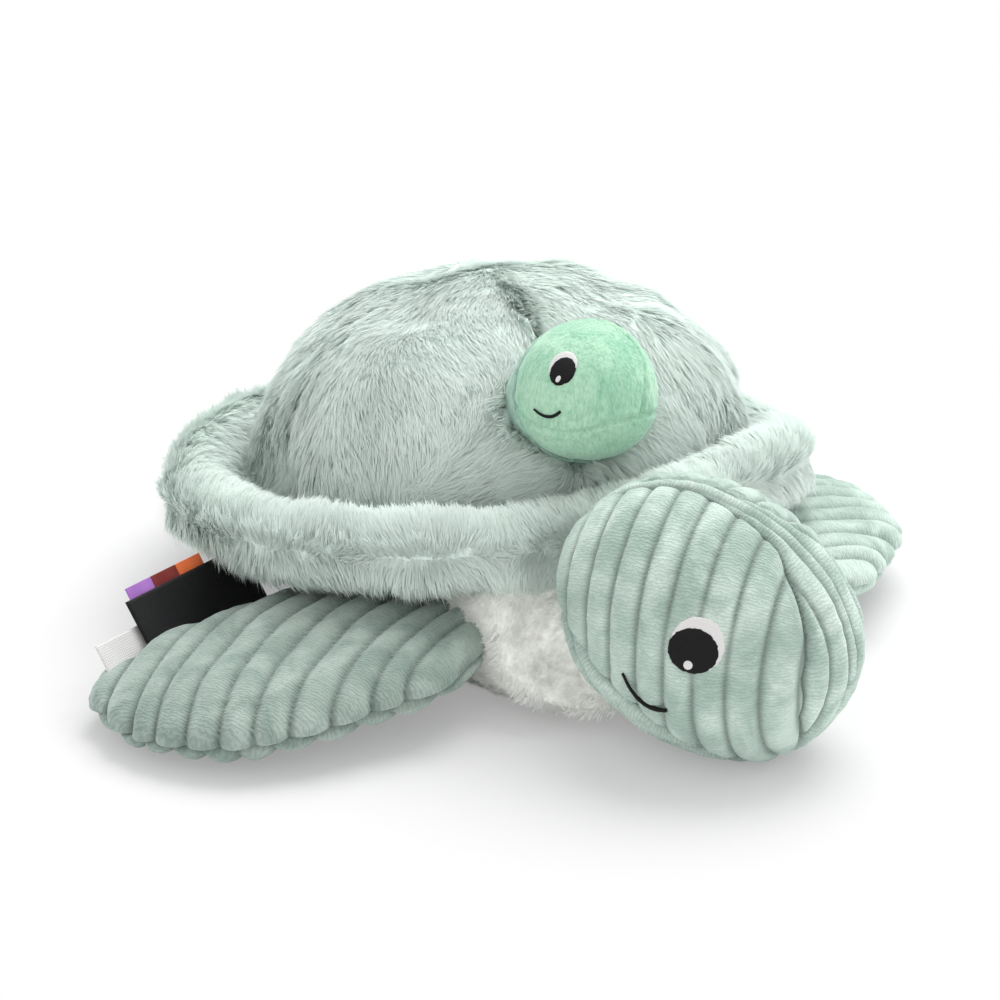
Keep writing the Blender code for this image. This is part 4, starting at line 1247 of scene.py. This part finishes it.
def stitched_smile(name, look, side, lift, material):
    """A smile of thread that thickens towards the nose."""
    outline = bpy.data.curves.new(name, "CURVE")
    outline.dimensions = "3D"
    outline.bevel_depth = look["thread"] / 2
    outline.bevel_resolution = 3
    outline.use_fill_caps = True
    outline.resolution_u = 10
    spline = outline.splines.new("BEZIER")
    spline.bezier_points.add(len(look["smile"]) - 1)
    count = len(look["smile"])
    for place, (knot, direction) in enumerate(zip(spline.bezier_points, look["smile"])):
        point, normal = face_spot(direction, look["half"], side)
        knot.co = point + normal * lift
        knot.handle_left_type = knot.handle_right_type = "AUTO"
        share = place / (count - 1)
        knot.radius = 0.55 + 0.6 * share - 0.35 * (share > 0.99)
    curve = bpy.data.objects.new(name, outline)
    bpy.context.scene.collection.objects.link(curve)
    pick(curve)
    bpy.ops.object.convert(target="MESH")
    piece = named(bpy.context.object, name)
    points = points_of(piece)
    write_attribute(piece, "cloth", points[:, [1, 0, 2]])
    move_points(piece, placed(look["pose"], points))
    smooth(piece)
    return wear(piece, material)


def make_face(owner, look, body):
    """Both eyes and both halves of the smile. An oval lists its width, height, and shift down and forward."""
    finish = finishes()
    for side_name, side in (("left", 1), ("right", -1)):
        layers = zip(("eye_white", "pupil", "glint"), look["ovals"], look["lifts"],
                     ("white_thread", "black_thread", "white_thread"))
        for part, oval, lift, thread in layers:
            name = f"{owner}{part}_{side_name}"
            piece = stitched_patch(f"stitched_{name}", oval[:2], oval[2:], look, side, lift, finish[thread])
            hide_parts(name)
            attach(piece, body)
        name = f"{owner}smile_{side_name}"
        piece = stitched_smile(f"stitched_{name}", look, side, look["smile_lift"], finish["black_thread"])
        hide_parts(name)
        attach(piece, body)


class TURTLE_OT_face(bpy.types.Operator):
    """Stitch the mother's eyes and smile"""
    bl_idname = "turtle.face"
    bl_label = "Mother's face"

    def execute(self, context):
        rib = context.scene.turtle_velour.rib_depth
        calm = rib * CALM_SHARE
        make_face("", {
            "pose": HEAD_POSE, "half": HEAD_HALF, "eye": EYE_DIRECTION,
            "ovals": ((0.0154, 0.0158, 0.0001, -0.0003), (0.0144, 0.0130, 0.0021, -0.0004),
                      (0.0027, 0.0027, 0.0062, 0.0005)), "tilt": math.radians(20),
            "lifts": (calm - 0.45 * MM, calm - 0.15 * MM, calm + 0.05 * MM),
            "smile": SMILE_DIRECTIONS, "thread": 0.0015, "smile_lift": rib - 0.9 * MM,
        }, "head")
        return {"FINISHED"}


# The flippers

# The front flippers' grooves: how far each is from the hinge in mm, and how they run and arch
GROOVES = (67.5, 56.1, 47.9, 37.3, 26.4, 16.1, 5.5, -5.5, -14.8, -22.3)
GROOVE_HEADING = math.radians(36)
GROOVE_MIDDLE = 0.035
GROOVE_ARCH = 3.0
ROOT_REACH = 0.024
SHORT_FLIPPER = 0.08
FLIPPER_SEAM = -0.12
INNER_PITCH = 10.4 * MM
OUTER_PITCH = 9.4 * MM


def flipper_list():
    """Each flipper's name, side, hinge, sweep, droop and sizes."""
    front = {"breadth": 0.080, "thickness": 0.021, "bow": 0.010, "squareness": 2.9, "root": ROOT_REACH,
             "lead": 0.013, "trail": 0.006, "curl": 0, "breadths": (0.66, 0.80, 0.88, 0.98, 1.0, 0.90),
             "thicknesses": (0.6, 0.80, 0.95, 1.0, 0.92, 0.74)}
    rear = {"breadth": 0.046, "thickness": 0.012, "bow": 0.003, "squareness": 2.6, "root": ROOT_REACH / 2,
            "lead": 0, "trail": 0, "curl": 0, "breadths": (0.6, 0.72, 0.86, 1.0, 0.98, 0.84),
            "thicknesses": (0.6, 0.7, 0.90, 1.0, 0.95, 0.75)}
    hinge_front, hinge_rear = (0.050, -0.068, 0.0215), (0.037, 0.053, 0.0076)
    return (
        ("front_right_flipper", -1, hinge_front, 8, 7.0, {**front, "length": 0.103}),
        ("front_left_flipper", 1, hinge_front, -50, 9.2, {**front, "length": 0.101, "curl": 0.012}),
        ("rear_right_flipper", -1, hinge_rear, -63, 0.5, {**rear, "length": 0.073}),
        ("rear_left_flipper", 1, hinge_rear, -63, 0.5, {**rear, "length": 0.073}),
    )


def flipper_pose(side, hinge, sweep, droop):
    """A flipper's own +X points out from its hinge, swept towards the head and drooping."""
    heading = -math.radians(sweep) if side > 0 else math.pi + math.radians(sweep)
    turning = Matrix.Rotation(heading, 4, "Z") @ Matrix.Rotation(math.radians(droop), 4, "Y")
    return np.array(Matrix.Translation((side * hinge[0], hinge[1], hinge[2])) @ turning)


def flipper_points(points, side, size, inset):
    """A ball's points on a flipper, along +X from its hinge, and how high each is in its section."""
    across, up = section(points, 2.3)
    far = size["length"] - inset
    out = -size["root"] + (1 + points[:, 2]) / 2 * (far + size["root"])
    along = np.clip(out / size["length"], 0, 1)
    reach = rounded(points[:, 2], size["squareness"])
    stops = (-0.24, 0, 0.25, 0.5, 0.75, 1)
    broad = size["breadth"] / 2 * np.interp(out / size["length"], stops, size["breadths"]) - inset
    thick = size["thickness"] / 2 * np.interp(out / size["length"], stops, size["thicknesses"]) - inset
    forward = across * reach * broad - size["bow"] * np.sin(math.pi * along)
    forward += size["lead"] * bump_at(out / size["length"] - 0.04, 0.26) * reach * np.minimum(across, 0)
    forward += size["trail"] * bump_at(out / size["length"] - 0.30, 0.30) * reach * np.maximum(across, 0)
    return np.stack([out, side * forward, up * reach * thick + size["curl"] * along ** 2], 1), up


def flipper_phase(own, side, size):
    """The phase of the ribs, which cross the flipper as slanted arcs, and the way along them."""
    scale = 0.103 / size["length"] if size["length"] < SHORT_FLIPPER else 1
    out, behind = own[:, 0] * scale, -side * own[:, 1] * scale
    far = out * math.sin(GROOVE_HEADING) - behind * math.cos(GROOVE_HEADING)
    along = out * math.cos(GROOVE_HEADING) + behind * math.sin(GROOVE_HEADING)
    arched = far + GROOVE_ARCH * (along - GROOVE_MIDDLE) ** 2
    places = np.array(GROOVES[::-1]) * MM
    counts = np.arange(len(places), dtype=float)
    low = (arched - places[0]) / INNER_PITCH
    high = counts[-1] + (arched - places[-1]) / OUTER_PITCH
    phase = np.interp(arched, places, counts)
    phase = np.where(arched < places[0], low, np.where(arched > places[-1], high, phase))
    return phase, along


def make_flipper(name, side, pose, size, velour):
    """One stuffed flipper of ribbed velour, seamed round its edge."""
    drawn = {}

    def shape(points):
        own, drawn["up"] = flipper_points(points, side, size, 0.7 * MM)
        return own

    detail = 176 if size["length"] > SHORT_FLIPPER else 120
    piece = soft_form(name, detail, detail, shape)
    own = points_of(piece)
    phase, along = flipper_phase(own, side, size)
    thin = min(size["thickness"] / 0.021, 1)
    over_seam = drawn["up"] > FLIPPER_SEAM
    seam = np.abs(drawn["up"] - FLIPPER_SEAM) * size["thickness"] / 2
    crest = wale_height(phase + 0.5 * (drawn["up"] < FLIPPER_SEAM))
    height = velour.rib_depth * (0.35 + 0.8 * thin) * crest * (1 - 0.5 * bump_at(seam, 0.8 * MM))
    height += 0.8 * MM * crest * bump_at(seam - 1.7 * MM, 1.8 * MM) * over_seam
    height -= 1.2 * MM * bump_at(seam, 0.7 * MM)
    height += 0.5 * MM * ripple(own, 0.026, 61) + 0.10 * MM * ripple(own, 0.0035, 62)
    push_out(piece, height)
    # The crest also tells the velour finish where to paint shade in the grooves and seams.
    write_attribute(piece, "crest", np.clip(crest * 1.7, 0, 1))
    write_attribute(piece, "cloth", np.stack([phase * WALE_PITCH, along, own[:, 2]], 1))
    resting = placed(pose, points_of(piece))
    resting[:, 2] = np.maximum(resting[:, 2], 0.3 * MM)
    move_points(piece, resting)
    # The right front flipper takes the darker copy of the velour: painted shade.
    brushed = name.startswith("front_right")
    return wear(piece, finishes()["velour_painted_shade" if brushed else "velour"])


class TURTLE_OT_flippers(bpy.types.Operator):
    """Make the four ribbed velour flippers"""
    bl_idname = "turtle.flippers"
    bl_label = "Flippers"

    def execute(self, context):
        for name, side, hinge, sweep, droop, size in flipper_list():
            pose = flipper_pose(side, hinge, sweep, droop)
            piece = make_flipper(f"{name}_velour", side, pose, size, context.scene.turtle_velour)
            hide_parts(f"{name}_cover", f"{name}_stuffing")
            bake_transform(piece)
        return {"FINISHED"}


# The baby

def baby_seams(own):
    """Distance of points of the baby's head from its seams: one low round it and one down its side."""
    across, high = own[:, 0] / MM, own[:, 2] / MM
    low = np.abs(high - np.interp(across, *BABY_LOW_SEAM))
    upright = np.abs(across - np.interp(high, *BABY_SIDE_SEAM))
    upright = np.where((high > -4) & (own[:, 1] < 0), upright, 99)
    return np.minimum(low, upright) * MM


class TURTLE_OT_baby(bpy.types.Operator):
    """Make the mint baby turtle with its face"""
    bl_idname = "turtle.baby"
    bl_label = "Baby turtle"

    def execute(self, context):
        half = (BABY_RADIUS,) * 3
        head = soft_form("baby_head", 200, 140, lambda points: egg_points(points, half, 2, 0.3 * MM))
        own = points_of(head)
        seam = baby_seams(own)
        height = 0.3 * MM - 0.9 * MM * bump_at(seam, 0.7 * MM) + 0.3 * MM * bump_at(seam - 1.8 * MM, 1.2 * MM)
        height += 0.3 * MM * ripple(own, 0.017, 72) + 0.10 * MM * ripple(own * [1, 1, 0.4], 0.0026, 71)
        height += 0.9 * MM * bump_at(own[:, 2] + 12 * MM, 7 * MM)
        push_out(head, height)
        move_points(head, placed(BABY_FACE_POSE, points_of(head)))
        pieces = [(head, ["baby_head_cover", "baby_head_stuffing"])]
        body = soft_form("baby_torso", 72, 48,
                         lambda points: egg_points(points, BABY_TORSO_HALF, 2.2, 0.1 * MM))
        push_out(body, 0.25 * MM * ripple(points_of(body), 0.008, 73))
        spot = np.array([0, BABY_TORSO_BEHIND, BABY_BODY_LOW])
        move_points(body, placed(POCKET_POSE, points_of(body) + spot))
        pieces.append((body, ["baby_body"]))
        for end, behind in BABY_FINS_BEHIND:
            for side_name, side in (("left", 1), ("right", -1)):
                fin = soft_form(f"baby_{end}_{side_name}_fin", 48, 32,
                                lambda points: egg_points(points, BABY_FIN_HALF, 2.3))
                push_out(fin, 0.15 * MM * ripple(points_of(fin), 0.006, 74))
                spot = np.array([side * BABY_FIN_ASIDE, behind, BABY_BODY_LOW])
                move_points(fin, placed(POCKET_POSE, points_of(fin) + spot))
                pieces.append((fin, [f"baby_{end}_{side_name}_flipper"]))
        for piece, nodes in pieces:
            wear(piece, finishes()["mint"])
            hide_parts(*nodes)
            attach(piece, "baby")
        make_face("baby_", {
            "pose": BABY_FACE_POSE, "half": half, "eye": BABY_EYE_DIRECTION,
            "ovals": ((0.0086, 0.0098, -0.0006, -0.0003), (0.0076, 0.0092, 0.0010, 0.0001),
                      (0.0015, 0.0022, 0.0036, -0.0005)), "tilt": math.radians(-24),
            "lifts": (0.25 * MM, 0.45 * MM, 0.6 * MM),
            "smile": BABY_SMILE_DIRECTIONS, "thread": 0.0011, "smile_lift": 0.45 * MM,
        }, "baby")
        return {"FINISHED"}


# The labels

def label_pose():
    """The labels' plane: +X towards their free end, -Y up along their upper edge."""
    turning = Matrix.Rotation(math.pi + LABEL_HEADING, 4, "Z")
    return np.array(Matrix.Translation(LABEL_PLACE) @ turning @ Matrix.Rotation(-LABEL_LEAN, 4, "X"))


def make_label(name, size, place, curl, material):
    """A thin woven label, a little curled."""
    deselect()
    bpy.ops.mesh.primitive_grid_add(x_subdivisions=36, y_subdivisions=20, size=1)
    piece = named(bpy.context.object, name)
    flat = points_of(piece) * [size[0], size[1], 0] + np.array(place)
    write_attribute(piece, "cloth", flat)
    share = (flat[:, 0] - place[0]) / size[0] + 0.5
    flat[:, 2] += curl * share ** 2 + 0.25 * MM * np.sin(share * 7 + flat[:, 1] * 160)
    move_points(piece, placed(label_pose(), flat))
    thicken(piece, 0.5 * MM, 0)
    smooth(piece)
    return wear(piece, material)


class TURTLE_OT_labels(bpy.types.Operator):
    """Make the bare labels and ribbon tabs by the right front flipper"""
    bl_idname = "turtle.labels"
    bl_label = "Labels"

    def execute(self, context):
        finish = finishes()
        behind = -1.1 * MM
        black = make_label("label_black", BLACK_LABEL, (-0.010, 0, 0), 1.0 * MM, finish["black_label"])
        white = make_label("label_white", WHITE_LABEL, (0.026, 0.005, behind), -1.5 * MM,
                           finish["white_label"])
        for step, colour in enumerate(("purple", "red", "orange")):
            along = TAB_START - (step + 0.5) * TAB_STEP
            tab = make_label(f"ribbon_{colour}", TAB, (along, TAB_EDGE, behind), 0, finish[colour])
            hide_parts(f"ribbon_tab_{colour}")
            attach(tab, "front_right_flipper")
        for piece, node, size in ((black, "woven_label", (0.019, 0.058)),
                                  (white, "care_label", (0.013, 0.019))):
            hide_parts(node)
            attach(piece, "front_right_flipper")
        return {"FINISHED"}


# The studio

KEY_LAMP_PLACE = (0.55, 0.35, 1.35)
SIDE_LAMP_PLACE = (-0.8, -1.3, 0.9)


def add_lamp(name, place, size, power):
    """A soft round lamp that looks at the turtle."""
    deselect()
    bpy.ops.object.light_add(type="AREA", location=place)
    lamp = bpy.context.object
    lamp.name = name
    lamp.data.shape = "DISK"
    lamp.data.size = size
    lamp.data.energy = power
    lamp.rotation_euler = (Vector((0, 0, 0.04)) - Vector(place)).to_track_quat("-Z", "Y").to_euler()
    return lamp


def make_floor(studio):
    """A pale floor that keeps the turtle's shadow and melts into the white backdrop. Near the turtle the
    camera sees it darkened by painted shade, and a painted white glow lifts the shadow there.
    """
    deselect()
    bpy.ops.mesh.primitive_plane_add(size=8)
    floor = named(bpy.context.object, "floor")
    material, tree, shader = new_finish("pale_floor", 0.9)
    grain = noise(tree, object_coordinates(tree), 220, 3)
    path = add_node(tree, "ShaderNodeLightPath")
    paper = ramp(tree, grain, ((0.2, shade(studio.floor, 0.985)), (0.8, studio.floor)))
    # For camera rays the floor is darkened by the floor shade: painted shade round the turtle.
    painted_shade_paper = blend_colours(tree, 1.0, paper, shade((1, 1, 1), studio.floor_shade), "MULTIPLY")
    tree.links.new(blend_colours(tree, path.outputs["Is Camera Ray"], paper, painted_shade_paper),
                   shader.inputs["Base Color"])
    # A painted white glow, full away from the turtle and at the haze share near it, where it lifts the
    # shadow.
    glow = add_node(tree, "ShaderNodeEmission", {"Color": (1, 1, 1, 1), "Strength": 1.0})
    distance = add_node(tree, "ShaderNodeVectorMath", operation="LENGTH")
    tree.links.new(object_coordinates(tree), distance.inputs[0])
    fade = add_node(tree, "ShaderNodeMapRange", {"From Min": 0.15, "From Max": 0.31, "To Min": studio.haze})
    fade.interpolation_type = "SMOOTHSTEP"
    tree.links.new(distance.outputs["Value"], fade.inputs["Value"])
    seen = arithmetic(tree, "MULTIPLY", fade.outputs["Result"], path.outputs["Is Camera Ray"])
    mix = add_node(tree, "ShaderNodeMixShader")
    tree.links.new(seen, mix.inputs["Fac"])
    tree.links.new(shader.outputs["BSDF"], mix.inputs[1])
    tree.links.new(glow.outputs["Emission"], mix.inputs[2])
    tree.links.new(mix.outputs["Shader"], tree.nodes["Material Output"].inputs["Surface"])
    wear(floor, material)


def make_world(studio):
    """Even white light all round, seen by the camera as plain white."""
    world = bpy.data.worlds.new("studio")
    world.use_nodes = True
    tree = world.node_tree
    background = tree.nodes["Background"]
    path = add_node(tree, "ShaderNodeLightPath")
    strength = add_node(tree, "ShaderNodeMix", data_type="FLOAT")
    strength.inputs[2].default_value = studio.fill
    strength.inputs[3].default_value = 1.0
    tree.links.new(path.outputs["Is Camera Ray"], strength.inputs[0])
    background.inputs["Color"].default_value = (1, 1, 1, 1)
    tree.links.new(strength.outputs[0], background.inputs["Strength"])
    bpy.context.scene.world = world


def make_camera():
    """The camera at the photograph's angle."""
    azimuth, elevation, distance = math.radians(-20), math.radians(20), 1.05
    target = Vector((0, 0, 0.05))
    back = Vector((math.sin(azimuth) * math.cos(elevation), -math.cos(azimuth) * math.cos(elevation),
                   math.sin(elevation)))
    deselect()
    bpy.ops.object.camera_add(location=target + back * distance)
    camera = bpy.context.object
    camera.name = "camera"
    camera.rotation_euler = (-back).to_track_quat("-Z", "Y").to_euler()
    camera.data.sensor_width = 36
    camera.data.lens = 113.4
    camera.data.shift_x = 0.012
    camera.data.shift_y = -0.060
    camera.data.clip_start = 0.05
    bpy.context.scene.camera = camera


class TURTLE_OT_studio(bpy.types.Operator):
    """Set up the floor, the soft light and the camera"""
    bl_idname = "turtle.studio"
    bl_label = "Studio"

    def execute(self, context):
        studio = context.scene.turtle_studio
        context.scene.view_settings.view_transform = "Standard"
        make_camera()
        make_floor(studio)
        make_world(studio)
        add_lamp("key_lamp", KEY_LAMP_PLACE, 1.5, studio.key)
        add_lamp("side_lamp", SIDE_LAMP_PLACE, 1.2, studio.side)
        return {"FINISHED"}


# The panel's settings

def colour_setting(name, description, default):
    """A colour shown in the panel."""
    return FloatVectorProperty(name=name, description=description, subtype="COLOR", default=default)


class TurtleFur(bpy.types.PropertyGroup):
    """The fur of the shell and the belly."""
    length: FloatProperty(name="Length", description="Length of the dome's fur", default=0.0090,
                          unit="LENGTH")
    thickness: FloatProperty(name="Thickness", description="How closely the locks stand", default=1.0)
    # The tips are lighter than the roots: painted shade at the roots and a painted highlight at the tips.
    tip: colour_setting("Tips", "Colour of the fur's tips", (0.82, 0.90, 0.86))
    root: colour_setting("Roots", "Colour of the fur's roots", (0.77, 0.86, 0.82))
    cream_tip: colour_setting("Belly tips", "Colour of the belly fur's tips", (0.97, 0.975, 0.935))
    cream_root: colour_setting("Belly roots", "Colour of the belly fur's roots", (0.96, 0.965, 0.92))


class TurtleVelour(bpy.types.PropertyGroup):
    """The ribbed velour of the head and the flippers."""
    rib_depth: FloatProperty(name="Rib depth", description="How high the wales stand over their grooves",
                             default=0.0021, unit="LENGTH")
    light: colour_setting("Light nap", "Colour where the nap lies towards the light", (0.535, 0.635, 0.58))
    dark: colour_setting("Dark nap", "Colour where the nap is brushed away", (0.34, 0.44, 0.39))


class TurtleBaby(bpy.types.PropertyGroup):
    """The baby turtle and its pocket."""
    light: colour_setting("Light nap", "Main colour of the baby", (0.42, 0.66, 0.49))
    dark: colour_setting("Dark nap", "Colour of the baby's brushed patches", (0.29, 0.55, 0.39))
    lining: colour_setting("Lining", "Colour of the pocket's lining", (0.42, 0.62, 0.53))


class TurtleTrim(bpy.types.PropertyGroup):
    """Thread, labels and ribbons."""
    white: colour_setting("White", "White thread and label", (0.68, 0.665, 0.66))
    black: colour_setting("Black", "Black thread and label", (0.006, 0.006, 0.007))
    orange: colour_setting("Orange", "Orange ribbon tab", (0.78, 0.17, 0.05))
    red: colour_setting("Dark red", "Dark red ribbon tab", (0.19, 0.025, 0.022))
    purple: colour_setting("Purple", "Purple ribbon tab", (0.36, 0.16, 0.50))


class TurtleStudio(bpy.types.PropertyGroup):
    """The light and the floor."""
    key: FloatProperty(name="Key lamp", description="Power of the large lamp overhead", default=27,
                       unit="POWER")
    side: FloatProperty(name="Side lamp", description="Power of the lamp in front", default=2, unit="POWER")
    fill: FloatProperty(name="Fill", description="Strength of the even light all round", default=0.92)
    floor: colour_setting("Floor", "Colour of the floor", (0.94, 0.94, 0.94))
    # Floor shade darkens the floor the camera sees near the turtle: painted shade. Haze is a painted white
    # glow over the turtle's shadow.
    floor_shade: FloatProperty(name="Floor shade", description="How light the floor looks by the turtle",
                               default=0.66)
    haze: FloatProperty(name="Haze", description="White haze over the shadow by the turtle", default=0.30)


GROUPS = {
    "turtle_fur": TurtleFur,
    "turtle_velour": TurtleVelour,
    "turtle_baby": TurtleBaby,
    "turtle_trim": TurtleTrim,
    "turtle_studio": TurtleStudio,
}
OPERATORS = (
    TURTLE_OT_shell,
    TURTLE_OT_rim,
    TURTLE_OT_belly,
    TURTLE_OT_pocket,
    TURTLE_OT_head,
    TURTLE_OT_face,
    TURTLE_OT_flippers,
    TURTLE_OT_baby,
    TURTLE_OT_labels,
    TURTLE_OT_studio,
)


class TURTLE_PT_panel(bpy.types.Panel):
    """Lists the turtle's settings and pieces."""
    bl_idname = "TURTLE_PT_panel"
    bl_label = "Plush turtle"
    bl_space_type = "VIEW_3D"
    bl_region_type = "UI"
    bl_category = "Turtle"

    def draw(self, context):
        for operator in OPERATORS:
            self.layout.operator(operator.bl_idname)
        for name, group in GROUPS.items():
            box = self.layout.box()
            for setting in group.__annotations__:
                box.prop(getattr(context.scene, name), setting)


def register():
    """Adds the settings, the operators and the panel."""
    for group in GROUPS.values():
        bpy.utils.register_class(group)
    for operator in OPERATORS:
        bpy.utils.register_class(operator)
    bpy.utils.register_class(TURTLE_PT_panel)
    for name, group in GROUPS.items():
        setattr(bpy.types.Scene, name, PointerProperty(type=group))


def unregister():
    """Takes them away again."""
    for name in GROUPS:
        delattr(bpy.types.Scene, name)
    bpy.utils.unregister_class(TURTLE_PT_panel)
    for cls in (*reversed(OPERATORS), *GROUPS.values()):
        bpy.utils.unregister_class(cls)


def main():
    """Makes every piece in order."""
    register()
    for operator in OPERATORS:
        group, name = operator.bl_idname.split(".")
        getattr(getattr(bpy.ops, group), name)()


if __name__ == "__main__":
    main()
